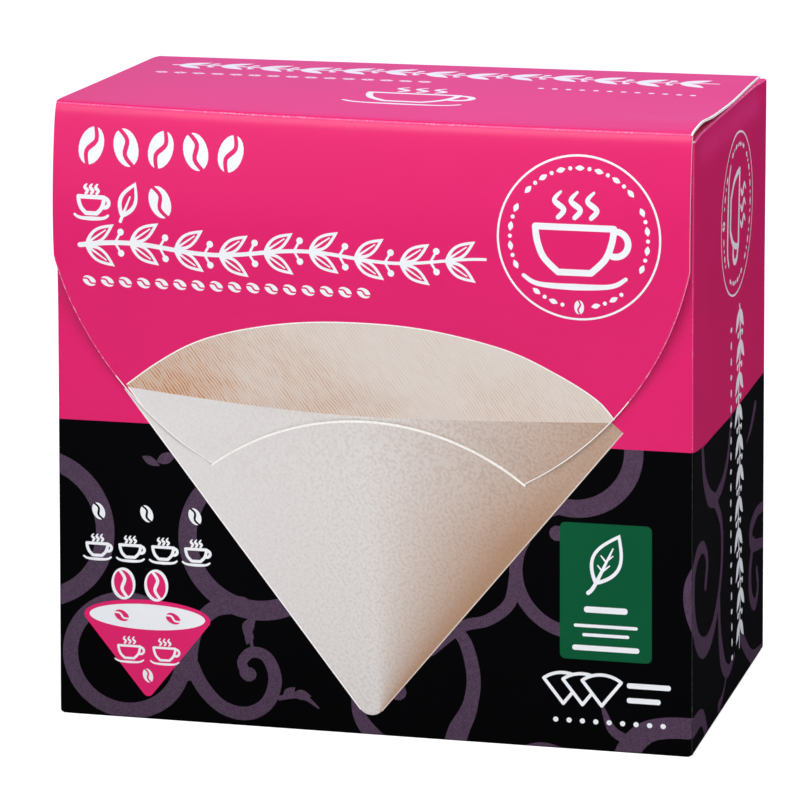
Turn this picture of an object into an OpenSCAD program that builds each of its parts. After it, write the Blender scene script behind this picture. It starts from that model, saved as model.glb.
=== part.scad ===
// A carton of flat-folded paper coffee filters.
// One sheet of paperboard is folded and glued into a box. Its lid folds up at the back, and the
// lid's front flap hangs over the front panel and tucks through an arched slit in it.
// Origin: middle of the carton's base. +X right, +Y to the back, +Z up. Millimetres.

/* [Carton] */
// Width of the carton, across the front
carton_w = 155; // [140:1:190]
// Depth of the carton, front to back
carton_d = 92; // [82:1:120]
// Height of the carton, with the lid board
carton_h = 147; // [135:1:180]
// Thickness of the paperboard
board_t = 0.5; // [0.4:0.05:0.7]
// Outer radius of the upright creases
crease_r = 0.8; // [0.8:0.1:1.5]
// How far each dust flap reaches in over the mouth
dust_flap_l = 42; // [25:1:55]
// Radius of the dust flaps' front and back corners
dust_corner_r = 12; // [5:1:20]
// Space between a dust flap and the front or back panel
dust_side_gap = 1.2; // [0.5:0.1:3]
// Width of the glued seam inside the left back corner
seam_w = 14; // [8:1:20]
// How far the glued bottom panel stands back from the sides and the back
bottom_inset = 0.8; // [0.6:0.1:2]
// How far the inner bottom flaps reach in from the sides
bottom_flap_l = 44; // [25:1:55]

/* [Lid] */
// How far the lid's front edge springs up
lid_lift = 1.8; // [0.5:0.1:4]
// How far the lid stands in from each side at its front edge
lid_front_inset = 0.3; // [0.1:0.1:2]
// How far the lid stands in from each side at its hinge
lid_back_inset = 1.2; // [0.5:0.1:3]

/* [Front flap] */
// Length of the flap with its tongue, from the lid's crease to the tip
flap_l = 92.5; // [86:0.5:100]
// Radius of the flap's round end
flap_r = 79; // [78:0.5:90]
// How far the flap bows out from the front panel
flap_bow = 3; // [1:0.5:6]
// Space between the flap and the front panel at the crease and the slit
flap_gap = 0.2; // [0.1:0.05:0.6]
// Straight stretch of the flap below its crease
crease_land = 4; // [2:0.5:8]
// Straight stretch of the flap above the slit
slit_land = 4; // [2:0.5:8]

/* [Slit] */
// Width of the arched slit, from end to end
slit_w = 76; // [60:1:90]
// Rise of the arch above its ends
slit_rise = 13.4; // [8:0.1:18]
// Free space round the board where it passes the slit
slit_clearance = 0.3; // [0.2:0.05:0.6]

/* [Filters] */
// Number of filters in the stack
filter_count = 100; // [20:1:110]
// Slant length of a filter, from tip to rim
filter_l = 106; // [90:1:108]
// Thickness that one flat-folded filter takes up in the stack
filter_pitch = 0.75; // [0.6:0.01:0.75]
// How far the rims stand proud of the hollows between them
rim_step = 0.8; // [0.3:0.1:1.5]
// Share of the pitch that a rim fills
rim_share = 0.6; // [0.4:0.05:0.8]
// Width of the blunt tip that a filter stands on
tip_w = 3; // [1:0.5:6]
// Space between the stack and the back panel
stack_back_gap = 3; // [1:0.5:6]

/* [Hidden] */
$fn = 96;

pink = "#d91f6c";
board_white = "#f1efe9";
filter_tan = "#dcc8a6";

// A cut runs this far past the face that it leaves
past = 1;
front_y = -carton_d / 2;
back_y = carton_d / 2;
wall_top = carton_h - board_t;

// The lid's board runs from the back crease over the front panel and the flap
lid_l = carton_d + flap_gap + board_t;
lid_tilt = asin(lid_lift / lid_l);
lid_crease_y = back_y - lid_l * cos(lid_tilt);
lid_crease_z = wall_top + lid_lift;
lid_front_w = carton_w - 2 * lid_front_inset;
lid_back_w = carton_w - 2 * lid_back_inset;

// The flap's round end is a circle that its sides run down into
flap_tip_z = carton_h - flap_l;
flap_centre_z = flap_tip_z + flap_r;

// The slit's ends lie on the flap's edge, and the arch's radius follows from its width and rise
slit_end_z = flap_centre_z - sqrt(flap_r * flap_r - slit_w * slit_w / 4);
slit_top_z = slit_end_z + slit_rise;
slit_r = (slit_w * slit_w / 4 + slit_rise * slit_rise) / (2 * slit_rise);
slit_centre_z = slit_top_z - slit_r;
slit_gap = board_t + 2 * slit_clearance;

// The flap's section: straight at the crease and the slit, bowed in between
bow_top_z = lid_crease_z - crease_land;
bow_end_z = slit_top_z + slit_gap + slit_land;
bow_steps = 20;

bottom_t = 2 * board_t;
stack_t = filter_count * filter_pitch;
stack_back_y = back_y - board_t - stack_back_gap;

// Rectangle on the origin with round corners
module rounded_rect(w, d, r) {
    square([w - 2 * r, d], center = true);
    square([w, d - 2 * r], center = true);
    for (sx = [-1, 1], sy = [-1, 1])
        translate([sx * (w / 2 - r), sy * (d / 2 - r)]) circle(r);
}

// Stands an outline drawn in X and Z upright, from y to y + depth
module upright(y, depth) {
    translate([0, y + depth, 0]) rotate([90, 0, 0]) linear_extrude(depth) children();
}

// Flap outline, tongue included: straight sides that run down into one large arc
module flap_outline() {
    intersection() {
        translate([-lid_front_w / 2, flap_tip_z])
            square([lid_front_w, lid_crease_z - flap_tip_z]);
        union() {
            translate([0, flap_centre_z]) circle(flap_r);
            translate([-carton_w / 2, flap_centre_z])
                square([carton_w, lid_crease_z - flap_centre_z]);
        }
    }
}

// Disc whose upper edge is the arch, grown by the given amount
module arch_disc(grow) {
    translate([0, slit_centre_z]) circle(slit_r + grow);
}

// The arched slit, as the band that is cut from the front panel
module slit_outline() {
    intersection() {
        difference() {
            arch_disc(slit_gap);
            arch_disc(0);
        }
        translate([-slit_w / 2 - slit_gap, slit_end_z - slit_gap])
            square([slit_w + 2 * slit_gap, slit_rise + 3 * slit_gap]);
    }
}

// One flap that folds in from the right side, with rounded free corners
module inward_flap(length, corner_r, side_gap) {
    reach = carton_w / 2 - board_t / 2;
    half_d = carton_d / 2 - board_t - side_gap;
    linear_extrude(board_t) {
        translate([reach - length + corner_r, -half_d]) square([length - corner_r, 2 * half_d]);
        translate([reach - length, corner_r - half_d]) square([length, 2 * (half_d - corner_r)]);
        for (s = [-1, 1])
            translate([reach - length + corner_r, s * (half_d - corner_r)]) circle(corner_r);
    }
}

module walls() {
    translate([0, 0, board_t])
        linear_extrude(wall_top - board_t)
            difference() {
                rounded_rect(carton_w, carton_d, crease_r);
                rounded_rect(carton_w - 2 * board_t, carton_d - 2 * board_t, crease_r - board_t);
            }
}

// Two glued panels, one from the front and one from the back, over two flaps from the sides
module bottom() {
    translate([bottom_inset - carton_w / 2, front_y + crease_r, 0])
        cube([carton_w - 2 * bottom_inset, carton_d - crease_r - bottom_inset, board_t]);
    translate([0, 0, board_t])
        linear_extrude(board_t)
            square([carton_w - board_t, carton_d - board_t], center = true);
    for (turn = [0, 180])
        rotate([0, 0, turn])
            translate([0, 0, bottom_t])
                inward_flap(bottom_flap_l, board_t, dust_side_gap);
}

module dust_flaps() {
    for (turn = [0, 180])
        rotate([0, 0, turn])
            translate([0, 0, wall_top - board_t])
                inward_flap(dust_flap_l, dust_corner_r, dust_side_gap);
}

// Glued seam: a strip of the back panel that lies inside the left side
module seam() {
    translate([board_t / 2 - carton_w / 2, back_y - board_t / 2 - seam_w, bottom_t])
        cube([1.5 * board_t, seam_w, wall_top - bottom_t - 3 * board_t]);
}

module carton_body() {
    color(pink)
        difference() {
            union() {
                walls();
                bottom();
                dust_flaps();
                seam();
            }
            upright(front_y - past, board_t + 2 * past) slit_outline();
        }
}

// Flat-folded cones, tip down: a quarter turn of the stack's comb-shaped section
module filter_stack() {
    tip_z = bottom_t - tip_w / 2;
    hollow_r = filter_l - rim_step;
    comb = [for (i = [0:filter_count - 1]) each [
        [filter_l, i * filter_pitch],
        [filter_l, (i + rim_share) * filter_pitch],
        [hollow_r, (i + rim_share) * filter_pitch],
        [hollow_r, (i + 1) * filter_pitch]
    ]];
    last = len(comb) - 2;
    section = concat([[0, 0]], [for (i = [0:last]) comb[i]], [[0, comb[last].y]]);
    color(filter_tan)
        difference() {
            translate([0, stack_back_y, tip_z])
                rotate([0, -45, 0])
                    rotate([90, 0, 0])
                        rotate_extrude(angle = 90) polygon(section);
            translate([-tip_w, stack_back_y - stack_t - past, tip_z - past])
                cube([2 * tip_w, stack_t + 2 * past, bottom_t - tip_z + past]);
        }
}

// The lid's plan, from its hinge on the X axis to its front crease
module lid_plan() {
    polygon([
        [-lid_back_w / 2, 0],
        [-lid_front_w / 2, -lid_l],
        [lid_front_w / 2, -lid_l],
        [lid_back_w / 2, 0]
    ]);
}

// The lid's section through Y and Z: a sheet that rounds down into the crease at each end
module lid_section() {
    translate([board_t - lid_l, 0]) square([lid_l - 2 * board_t, board_t]);
    intersection() {
        translate([-lid_l, 0]) square([lid_l, board_t]);
        for (y = [board_t - lid_l, -board_t]) translate([y, 0]) circle(board_t);
    }
}

module lid_panel() {
    color(pink)
        translate([0, back_y, wall_top])
            rotate([-lid_tilt, 0, 0])
                intersection() {
                    linear_extrude(board_t) lid_plan();
                    translate([-carton_w / 2, 0, 0])
                        rotate([90, 0, 90]) linear_extrude(carton_w) lid_section();
                }
}

// How far the flap's outer face stands out from its crease at height z
function bow_at(z) = z > bow_end_z && z < bow_top_z
    ? flap_bow * pow(sin(180 * (z - bow_end_z) / (bow_top_z - bow_end_z)), 2)
    : 0;

// Section of the flap through Y and Z, from the tip's height to the crease. Its top edge follows
// the underside of the tilted lid.
module flap_section() {
    heights = concat(
        [flap_tip_z],
        [for (i = [0:bow_steps]) bow_end_z + (bow_top_z - bow_end_z) * i / bow_steps]
    );
    outer = [for (z = heights) [lid_crease_y - bow_at(z), z]];
    inner = [for (i = [len(heights) - 1:-1:0]) outer[i] + [board_t, 0]];
    top = [
        [lid_crease_y, lid_crease_z],
        [lid_crease_y + board_t, lid_crease_z - board_t * tan(lid_tilt)]
    ];
    polygon(concat(outer, top, inner));
}

module front_flap() {
    color(pink)
        intersection() {
            translate([-carton_w / 2, 0, 0])
                rotate([90, 0, 90]) linear_extrude(carton_w) flap_section();
            upright(lid_crease_y - flap_bow - past, flap_bow + board_t + 2 * past)
                difference() {
                    flap_outline();
                    arch_disc(slit_clearance);
                }
        }
}

// The flap's end: it passes back through the slit and lies behind the front panel
module tuck_tongue() {
    flap_inner_y = lid_crease_y + board_t;
    tongue_y = front_y + board_t + slit_clearance;
    color(board_white) {
        upright(flap_inner_y, tongue_y + board_t - flap_inner_y)
            intersection() {
                flap_outline();
                difference() {
                    arch_disc(slit_clearance + board_t);
                    arch_disc(slit_clearance);
                }
            }
        upright(tongue_y, board_t)
            intersection() {
                flap_outline();
                arch_disc(slit_clearance + board_t);
            }
    }
}

carton_body();
filter_stack();
lid_panel();
front_flap();
tuck_tongue();
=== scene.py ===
"""Dresses a printed paperboard carton of cone coffee filters.

The carton is one folded sheet of board. Each part of it is laid out flat here, with its print as
areas of ink, and is then carried into place round its creases. Flat sizes are in millimetres, and
the meshes are written in metres, in the frame's own axes: +X right, +Y back, +Z up.
"""

from __future__ import annotations

import logging
import math
import random
from dataclasses import dataclass, field
from enum import Enum
from functools import cached_property, reduce
from typing import Any, Callable, Iterable, Sequence

import bpy
from mathutils import Matrix, Vector
from mathutils.geometry import delaunay_2d_cdt

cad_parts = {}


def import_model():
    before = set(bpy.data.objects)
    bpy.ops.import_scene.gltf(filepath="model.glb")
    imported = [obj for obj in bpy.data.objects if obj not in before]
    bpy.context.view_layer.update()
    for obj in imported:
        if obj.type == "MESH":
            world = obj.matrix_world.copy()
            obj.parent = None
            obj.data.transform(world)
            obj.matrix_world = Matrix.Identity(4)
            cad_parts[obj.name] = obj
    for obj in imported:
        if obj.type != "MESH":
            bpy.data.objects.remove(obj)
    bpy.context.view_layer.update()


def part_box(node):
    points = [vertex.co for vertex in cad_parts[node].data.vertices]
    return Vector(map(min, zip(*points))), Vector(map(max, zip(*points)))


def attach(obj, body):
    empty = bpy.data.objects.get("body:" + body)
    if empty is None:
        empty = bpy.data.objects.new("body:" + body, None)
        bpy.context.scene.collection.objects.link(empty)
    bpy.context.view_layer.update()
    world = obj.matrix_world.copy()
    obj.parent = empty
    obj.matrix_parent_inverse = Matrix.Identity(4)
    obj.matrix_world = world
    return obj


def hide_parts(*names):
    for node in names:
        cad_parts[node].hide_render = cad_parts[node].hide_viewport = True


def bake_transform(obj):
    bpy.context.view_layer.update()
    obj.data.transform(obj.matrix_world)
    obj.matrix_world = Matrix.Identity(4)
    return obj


Point = tuple[float, float]
Loop = list[Point]
Solid = tuple[float, float, float]
Colour = tuple[float, float, float]
Place = Callable[[float, float], Solid]
Socket = bpy.types.NodeSocket
Value = float | Socket
Tint = Colour | Socket
Finishes = dict["Ink", bpy.types.Material]

MM = 0.001
THINNEST_CAP = 0.3
PURE_WHITE = (1.0, 1.0, 1.0, 1.0)

log = logging.getLogger("carton")


class Ink(Enum):
    """The finishes that an area of a sheet can have."""

    PINK = "pink_ink"
    BLACK = "black_ink"
    SCROLL = "scroll_ink"
    WHITE = "white_ink"
    GREEN = "green_ink"
    PLY_INSIDE = "pictured_ply_inside"
    PLY_OUTSIDE = "pictured_ply_outside"
    # lighter ink along the creases: a painted highlight, with the real pale cracks of the bend
    CREASE = "worn_crease"
    BARE = "bare_board"
    CUT = "cut_edge"


def srgb(red: float, green: float, blue: float) -> Colour:
    """Turns a colour on the 0 to 255 scale of a picture into the linear one of a shader."""
    shares = [value / 255.0 for value in (red, green, blue)]
    return tuple(s / 12.92 if s <= 0.04045 else ((s + 0.055) / 1.055) ** 2.4 for s in shares)


def kept(value: float) -> float:
    """A value cut off at 0 and 1."""
    return min(1.0, max(0.0, value))


def ease(low: float, high: float, value: float) -> float:
    """A smooth step from 0 at low to 1 at high, which may be below low."""
    share = kept((value - low) / (high - low))
    return share * share * (3.0 - 2.0 * share)


def bell(middle: float, reach: float, value: float) -> float:
    """A smooth hump with a height of 1."""
    return math.exp(-(((value - middle) / reach) ** 2))


def bent(radius: float, run: float) -> Point:
    """How far in and how far on a round crease has come after a run of its flat length."""
    phi = math.radians(45.0) * run / radius
    return radius * (1.0 - math.cos(phi)), radius * math.sin(phi)


def rounded_off(radius: float, inward: float) -> float:
    """How far a round edge lies below its face, at a distance in from its end."""
    short = max(0.0, radius - inward)
    return radius - math.sqrt(max(0.0, radius * radius - short * short))


def between(a: Point, b: Point, share: float) -> Point:
    """The point at a share of the way from a to b."""
    return a[0] + (b[0] - a[0]) * share, a[1] + (b[1] - a[1]) * share


def pairs(loop: Sequence[Any]) -> Iterable[tuple[Any, Any]]:
    """Each item of a closed loop with the one after it."""
    return zip(loop, [*loop[1:], loop[0]])


def shown(name: str, data: bpy.types.ID) -> bpy.types.Object:
    """Makes an object and puts it in the scene.

    Args:
        name: Its name.
        data: Its mesh, lamp or camera data.

    Returns:
        The object.
    """
    thing = bpy.data.objects.new(name, data)
    bpy.context.scene.collection.objects.link(thing)
    return thing


def arc(centre: Point, radius: float, start: float, end: float, step: float = 0.9) -> Loop:
    """Points along an arc.

    Args:
        centre: Its centre.
        radius: Its radius.
        start: The first angle, in degrees anticlockwise from +X.
        end: The last angle.
        step: About how far apart the points lie.

    Returns:
        The points, both ends included.
    """
    count = max(6, math.ceil(abs(math.radians(end - start)) * radius / step))
    angles = [math.radians(start + (end - start) * i / count) for i in range(count + 1)]
    return [(centre[0] + radius * math.cos(a), centre[1] + radius * math.sin(a)) for a in angles]


def ellipse(centre: Point, half_width: float, half_height: float, count: int = 40) -> Loop:
    """A number of points round an ellipse, anticlockwise."""
    angles = [math.tau * i / count for i in range(count)]
    return [(centre[0] + half_width * math.cos(a), centre[1] + half_height * math.sin(a)) for a in angles]


def rounded_box(low: Point, high: Point, radius: float) -> Loop:
    """An upright rectangle with round corners.

    Args:
        low: Its lower left corner.
        high: Its upper right corner.
        radius: The radius of its corners.

    Returns:
        The closed loop, anticlockwise.
    """
    x0, z0, x1, z1 = low[0] + radius, low[1] + radius, high[0] - radius, high[1] - radius
    corners = (((x1, z0), -90), ((x1, z1), 0), ((x0, z1), 90), ((x0, z0), 180))
    return [p for centre, turn in corners for p in arc(centre, radius, turn, turn + 90, 0.5)]


def box(low: Point, high: Point) -> Loop:
    """An upright rectangle between its lower left corner and its upper right one, anticlockwise."""
    return [low, (high[0], low[1]), high, (low[0], high[1])]


def bar(left: float, right: float, z: float, thick: float, corner: float) -> Loop:
    """A level bar with round corners, whose middle lies at height z."""
    return rounded_box((left, z - thick / 2), (right, z + thick / 2), corner)


def divided(a: Point, b: Point, reach: float) -> Loop:
    """Points along a straight line from a to b, both included, with no more than reach between them."""
    count = max(1, math.ceil(math.dist(a, b) / reach))
    return [(a[0] + (b[0] - a[0]) * i / count, a[1] + (b[1] - a[1]) * i / count) for i in range(count + 1)]


def circle_through(a: Point, b: Point, c: Point) -> tuple[Point, float]:
    """The circle through three points.

    Args:
        a: The first point.
        b: The second one.
        c: The third one.

    Returns:
        Its centre and its radius.
    """
    ux, uz = b[0] - a[0], b[1] - a[1]
    vx, vz = c[0] - a[0], c[1] - a[1]
    double = 2.0 * (ux * vz - uz * vx)
    u2, v2 = ux * ux + uz * uz, vx * vx + vz * vz
    x, z = (vz * u2 - uz * v2) / double, (ux * v2 - vx * u2) / double
    return (a[0] + x, a[1] + z), math.hypot(x, z)


def smooth(points: Sequence[Point], step: float = 0.9) -> Loop:
    """A smooth curve through a few points.

    Args:
        points: The points that it passes through, in order.
        step: About how far apart the curve's own points lie.

    Returns:
        The curve's points, both ends included.
    """
    ends = [points[0], *points, points[-1]]
    curve: Loop = []
    for a, b, c, d in zip(ends, ends[1:], ends[2:], ends[3:]):
        count = max(2, math.ceil(math.dist(b, c) / step))
        for i in range(count):
            t = i / count
            weights = (
                -0.5 * t + t * t - 0.5 * t**3,
                1.0 - 2.5 * t * t + 1.5 * t**3,
                0.5 * t + 2.0 * t * t - 1.5 * t**3,
                -0.5 * t * t + 0.5 * t**3,
            )
            spot = [sum(w * p[k] for w, p in zip(weights, (a, b, c, d))) for k in (0, 1)]
            curve.append((spot[0], spot[1]))
    return [*curve, points[-1]]


def blade(base: Point, tip: Point, half_width: float, belly: float = 0.45) -> Loop:
    """A leaf: two curves that meet in a point at each end.

    Args:
        base: Where it starts.
        tip: Where it ends.
        half_width: Half its greatest width.
        belly: Where along it the greatest width lies, from 0 to 1.

    Returns:
        The closed loop, anticlockwise.
    """
    length = math.dist(base, tip)
    ux, uz = (tip[0] - base[0]) / length, (tip[1] - base[1]) / length
    count = max(6, round(length / 0.7))
    power = math.log(0.5) / math.log(belly)
    sides: list[Loop] = [[], []]
    for i in range(count + 1):
        share = i / count
        wide = half_width * math.sin(math.pi * share**power)
        for side, sign in zip(sides, (-1, 1)):
            x = base[0] + ux * length * share - uz * sign * wide
            z = base[1] + uz * length * share + ux * sign * wide
            side.append((x, z))
    return [*sides[0], *reversed(sides[1][1:-1])]


def area_of(loop: Sequence[Point]) -> float:
    """The signed area of a closed loop, above 0 if it runs anticlockwise."""
    return 0.5 * sum(a[0] * b[1] - b[0] * a[1] for a, b in pairs(loop))


def holds(loop: Sequence[Point], x: float, z: float) -> bool:
    """Whether a closed loop holds a point.

    Args:
        loop: The loop.
        x: The point's distance to the right.
        z: Its height.

    Returns:
        True if the point lies inside.
    """
    inside = False
    px, pz = loop[-1]
    for qx, qz in loop:
        if (qz > z) != (pz > z) and x < (px - qx) * (z - qz) / (pz - qz) + qx:
            inside = not inside
        px, pz = qx, qz
    return inside


@dataclass
class Artwork:
    """Areas of ink on a flat sheet, each laid over those before it."""

    areas: list[tuple[Ink, Loop]] = field(default_factory=list, init=False)  # each area's ink and closed loop

    def fill(self, ink: Ink, loop: Sequence[Point]) -> None:
        """Lays one closed area, whose outline may run in either direction."""
        forward = list(loop) if area_of(loop) > 0 else list(reversed(loop))
        self.areas.append((ink, forward))

    def disc(self, ink: Ink, centre: Point, radius: float) -> None:
        """Lays a round spot."""
        self.fill(ink, ellipse(centre, radius, radius, max(10, round(radius * 5))))

    def line(self, ink: Ink, path: Sequence[Point], widths: Sequence[float], caps: bool = True) -> None:
        """Draws a line of changing width, in short lengths that never cross themselves.

        Args:
            ink: Its ink.
            path: The points of its middle.
            widths: Its widths, spread evenly from one end to the other.
            caps: Whether its ends are round.
        """
        last = len(path) - 1
        left: Loop = []
        right: Loop = []
        for i, (x, z) in enumerate(path):
            a, b = path[max(0, i - 1)], path[min(last, i + 1)]
            run = math.dist(a, b) or 1.0
            nx, nz = (a[1] - b[1]) / run, (b[0] - a[0]) / run
            spot = i / last * (len(widths) - 1)
            k = min(int(spot), len(widths) - 2) if len(widths) > 1 else 0
            share = spot - k
            half = 0.5 * (widths[k] * (1 - share) + widths[min(k + 1, len(widths) - 1)] * share)
            left.append((x + nx * half, z + nz * half))
            right.append((x - nx * half, z - nz * half))
        for i in range(last):
            self.fill(ink, [right[i], right[i + 1], left[i + 1], left[i]])
        for end, wide in ((path[0], widths[0]), (path[-1], widths[-1])):
            if caps and wide > THINNEST_CAP:
                self.disc(ink, end, wide / 2)

    def add(self, other: Artwork, at: Point = (0.0, 0.0), turn: float = 0.0) -> None:
        """Lays another artwork over this one.

        Args:
            other: The artwork to copy.
            at: Where its own zero goes.
            turn: How far it is turned, in degrees anticlockwise.
        """
        c, s = math.cos(math.radians(turn)), math.sin(math.radians(turn))
        for ink, loop in other.areas:
            self.areas.append((ink, [(at[0] + c * x - s * z, at[1] + s * x + c * z) for x, z in loop]))

    def row(self, mark: Artwork, at: Point, pitch: float, count: int, *turns: float) -> None:
        """Lays a level row of one mark, each turned by the next of a few angles in degrees."""
        for i in range(count):
            self.add(mark, (at[0] + pitch * i, at[1]), turns[i % len(turns)] if turns else 0.0)


@dataclass(frozen=True)
class Stroke:
    """One stroke of the scroll ornament."""

    points: tuple[Point, ...]  # the points that its middle passes through
    widths: tuple[float, ...]  # its widths, spread evenly along it

    def draw(self, art: Artwork) -> None:
        """Draws the stroke on an artwork."""
        art.line(Ink.SCROLL, smooth(self.points, 1.0), self.widths)


@dataclass(frozen=True)
class Ring:
    """One round stroke of the scroll ornament."""

    centre: Point
    radius: float  # the radius of its middle
    widths: tuple[float, ...]  # its widths, spread evenly along it
    start: float = 0.0  # its first angle, in degrees
    end: float = 360.0

    def draw(self, art: Artwork) -> None:
        """Draws the ring on an artwork."""
        art.line(Ink.SCROLL, arc(self.centre, self.radius, self.start, self.end, 1.0), self.widths)


@dataclass
class ScrollWork(Artwork):
    """A traditional scroll ornament of rings, curls and small leaves, on the black lower band."""

    front: tuple[Stroke | Ring, ...] = (  # its strokes on the front panel
        Ring((-6.0, 46.3), 17.6, (4.6, 4.6), -80, 80),
        Ring((16.7, 15.8), 14.0, (3.7, 3.7, 3.8, 4.2, 3.7), 60, 400),
        Ring((49.5, 46.5), 17.4, (3.9, 4.6, 5.0), 75, 300),
        Stroke(((32.0, 12.5), (32.6, 19.0), (34.6, 24.6), (39.0, 29.0), (45.5, 30.2)), (4.4, 3.6, 4.4)),
        Stroke(
            (
                (29.0, 23.0), (31.6, 17.5), (35.2, 9.6), (40.4, 4.4), (46.6, 3.2), (51.6, 6.2),
                (53.6, 12.2), (51.6, 17.6), (47.8, 18.6), (45.4, 16.0), (46.4, 13.4),
            ),
            (3.8, 3.6, 3.6, 3.4, 3.4, 3.4, 2.8, 2.4),
        ),
        Stroke(((46.4, 13.4), (47.0, 12.9)), (3.4, 3.4)),
        Stroke(((48.0, 19.6), (47.6, 23.4), (48.7, 28.2)), (0.8, 0.9, 1.4)),
        Stroke(((54.6, 7.6), (60.0, 8.6), (64.5, 5.7)), (1.2, 1.6, 0.3)),
        Stroke(((13.6, 2.0), (18.2, 1.0), (20.6, -2.0)), (2.0, 3.2, 3.6)),
        Stroke(((73.6, 10.5), (74.2, 5.4), (76.2, 1.8), (80.0, -2.4)), (2.2, 3.4, 4.6)),
        Ring((126.8, 73.0), 14.2, (4.6, 4.6, 4.2), 6, -104),
        Stroke(((123.6, 59.2), (118.8, 57.0), (114.8, 53.0), (112.6, 47.6)), (3.6, 3.2, 3.0)),
        Ring((127.4, 43.2), 14.6, (3.2, 3.2, 3.2), 150, 262),
        Stroke(((112.8, 41.6), (111.2, 34.8), (106.0, 30.4), (99.6, 28.3), (92.0, 22.0)), (3.2, 2.8, 2.8)),
        Stroke(
            ((96.6, 28.6), (100.4, 24.8), (102.5, 16.2), (101.5, 8.6), (98.8, 2.6), (97.4, -3.0)),
            (2.6, 3.2, 3.4, 3.6, 5.0, 5.6),
        ),
        Ring((119.4, -8.6), 8.6, (2.4, 2.4), 30, 150),
        Stroke(
            (
                (138.4, -4.0), (140.2, 1.4), (144.0, 5.4), (149.4, 6.9),
                (157.0, 7.0), (166.0, 6.4), (171.0, 1.2),
            ),
            (6.4, 5.6, 5.2, 5.2, 5.0, 4.2, 3.4),
        ),
        Stroke(((140.4, 3.0), (136.0, 5.4), (133.4, 11.6)), (2.6, 2.2, 0.5)),
    )
    corner: tuple[Stroke | Ring, ...] = (  # its strokes round the front's right corner
        Stroke(
            (
                (171.4, 37.6), (173.6, 43.0), (168.6, 47.6), (161.0, 47.8), (156.2, 44.6),
                (154.8, 38.8), (156.8, 31.6), (162.4, 25.6), (171.0, 22.6), (180.0, 24.2),
                (187.4, 29.4), (192.6, 37.6), (192.4, 47.0), (184.0, 55.0),
            ),
            (3.0, 2.6, 3.4, 4.0, 4.4, 4.8, 5.2, 4.6, 3.4, 2.8, 2.6, 2.8, 3.2),
        ),
        Stroke(((167.4, 72.0), (169.6, 64.4), (176.0, 58.0), (184.0, 55.0)), (2.8, 3.4, 4.6, 3.4)),
        Stroke(((184.0, 55.0), (194.0, 57.0), (201.0, 62.0), (204.6, 70.0)), (3.2, 3.2, 2.6, 2.2)),
        Stroke(
            ((188.6, 31.0), (189.0, 21.0), (192.6, 12.4), (199.6, 8.2), (207.6, 10.0)),
            (2.4, 3.2, 4.8, 3.4, 1.4),
        ),
        Stroke(((197.0, 7.6), (192.4, 4.0), (187.4, 2.4)), (1.2, 1.6, 3.2)),
    )
    back_edge: tuple[Stroke | Ring, ...] = (  # its strokes near the right side's back edge
        Stroke(
            ((248.4, 37.4), (238.0, 38.4), (230.0, 35.6), (232.6, 31.2), (249.0, 28.0)),
            (2.6, 2.8, 4.2, 3.0, 2.4),
        ),
        Stroke(
            ((233.0, 32.0), (228.8, 26.0), (229.4, 19.0), (235.0, 15.2), (239.0, 18.6), (237.4, 23.6)),
            (2.8, 3.4, 3.6, 3.2, 2.6, 2.2),
        ),
        Stroke(((217.0, 11.8), (226.0, 5.0), (233.4, 1.6), (249.0, -0.4)), (3.8, 3.8, 3.6, 3.4)),
        Stroke(((235.0, 66.4), (230.4, 62.4), (224.6, 59.4)), (2.8, 2.2, 0.5)),
    )
    leaves: tuple[tuple[Point, Point, float], ...] = (  # each small leaf's base, tip and half its width
        ((47.9, 27.0), (46.0, 22.6), 1.5),
        ((47.8, 24.0), (46.6, 20.4), 1.1),
        ((55.6, 8.0), (58.6, 10.6), 1.1),
        ((58.0, 9.0), (62.6, 8.6), 1.3),
        ((21.0, 65.6), (25.4, 63.4), 1.0),
        ((24.6, 64.4), (29.6, 66.6), 1.4),
    )
    bulbs: tuple[tuple[Point, float], ...] = (  # the centre and the radius of each curl's round end
        ((47.2, 13.1), 1.8), ((84.0, 11.2), 2.1), ((122.7, 52.6), 1.9),
    )

    def __post_init__(self) -> None:
        """Draws the ornament where it lies on the unrolled walls."""
        for part in (*self.front, *self.corner, *self.back_edge):
            part.draw(self)
        for base, tip, half_width in self.leaves:
            self.fill(Ink.SCROLL, blade(base, tip, half_width))
        for centre, radius in self.bulbs:
            self.disc(Ink.SCROLL, centre, radius)


@dataclass
class PlainScroll(Artwork):
    """The same kind of ornament in a plain repeat, for the walls that face away."""

    start: float  # where the repeat starts along the unrolled walls
    end: float
    pitch: float = 38.0  # the length of one repeat, about
    height: float = 73.7  # the height of the band
    ring: float = 15.6  # the radius of its rings
    curl: float = 7.2  # the radius of the curl in each
    bulb: float = 2.0  # the radius of the curl's round end

    def __post_init__(self) -> None:
        """Draws a wave of rings with a curl in each."""
        count = round((self.end - self.start) / self.pitch)
        pitch = (self.end - self.start) / count
        for i in range(count):
            flip = 1 if i % 2 else -1
            x, z = self.start + pitch * (i + 0.5), self.height / 2 + flip * self.height * 0.12
            first = 90.0 * flip
            Ring((x, z), self.ring, (3.4, 4.4, 4.4, 3.6), first - 120, first + 165).draw(self)
            Ring((x + 2.0, z - 2.0 * flip), self.curl, (3.2, 3.4, 2.6), first + 150, first - 110).draw(self)
            self.disc(Ink.SCROLL, (x + 2.0, z + 3.2 * flip), self.bulb)
            reach = -flip * 16.0
            tail = ((x + 13.0, z - 8.0 * flip), (x + 17.0, z + reach), (x + 15.0, z + 1.9 * reach))
            self.line(Ink.SCROLL, smooth(tail), (3.6, 3.2, 0.6))
            self.fill(Ink.SCROLL, blade((x - 9.0, z + reach * 0.86), (x - 14.0, z + 1.5 * reach), 1.8))


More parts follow.
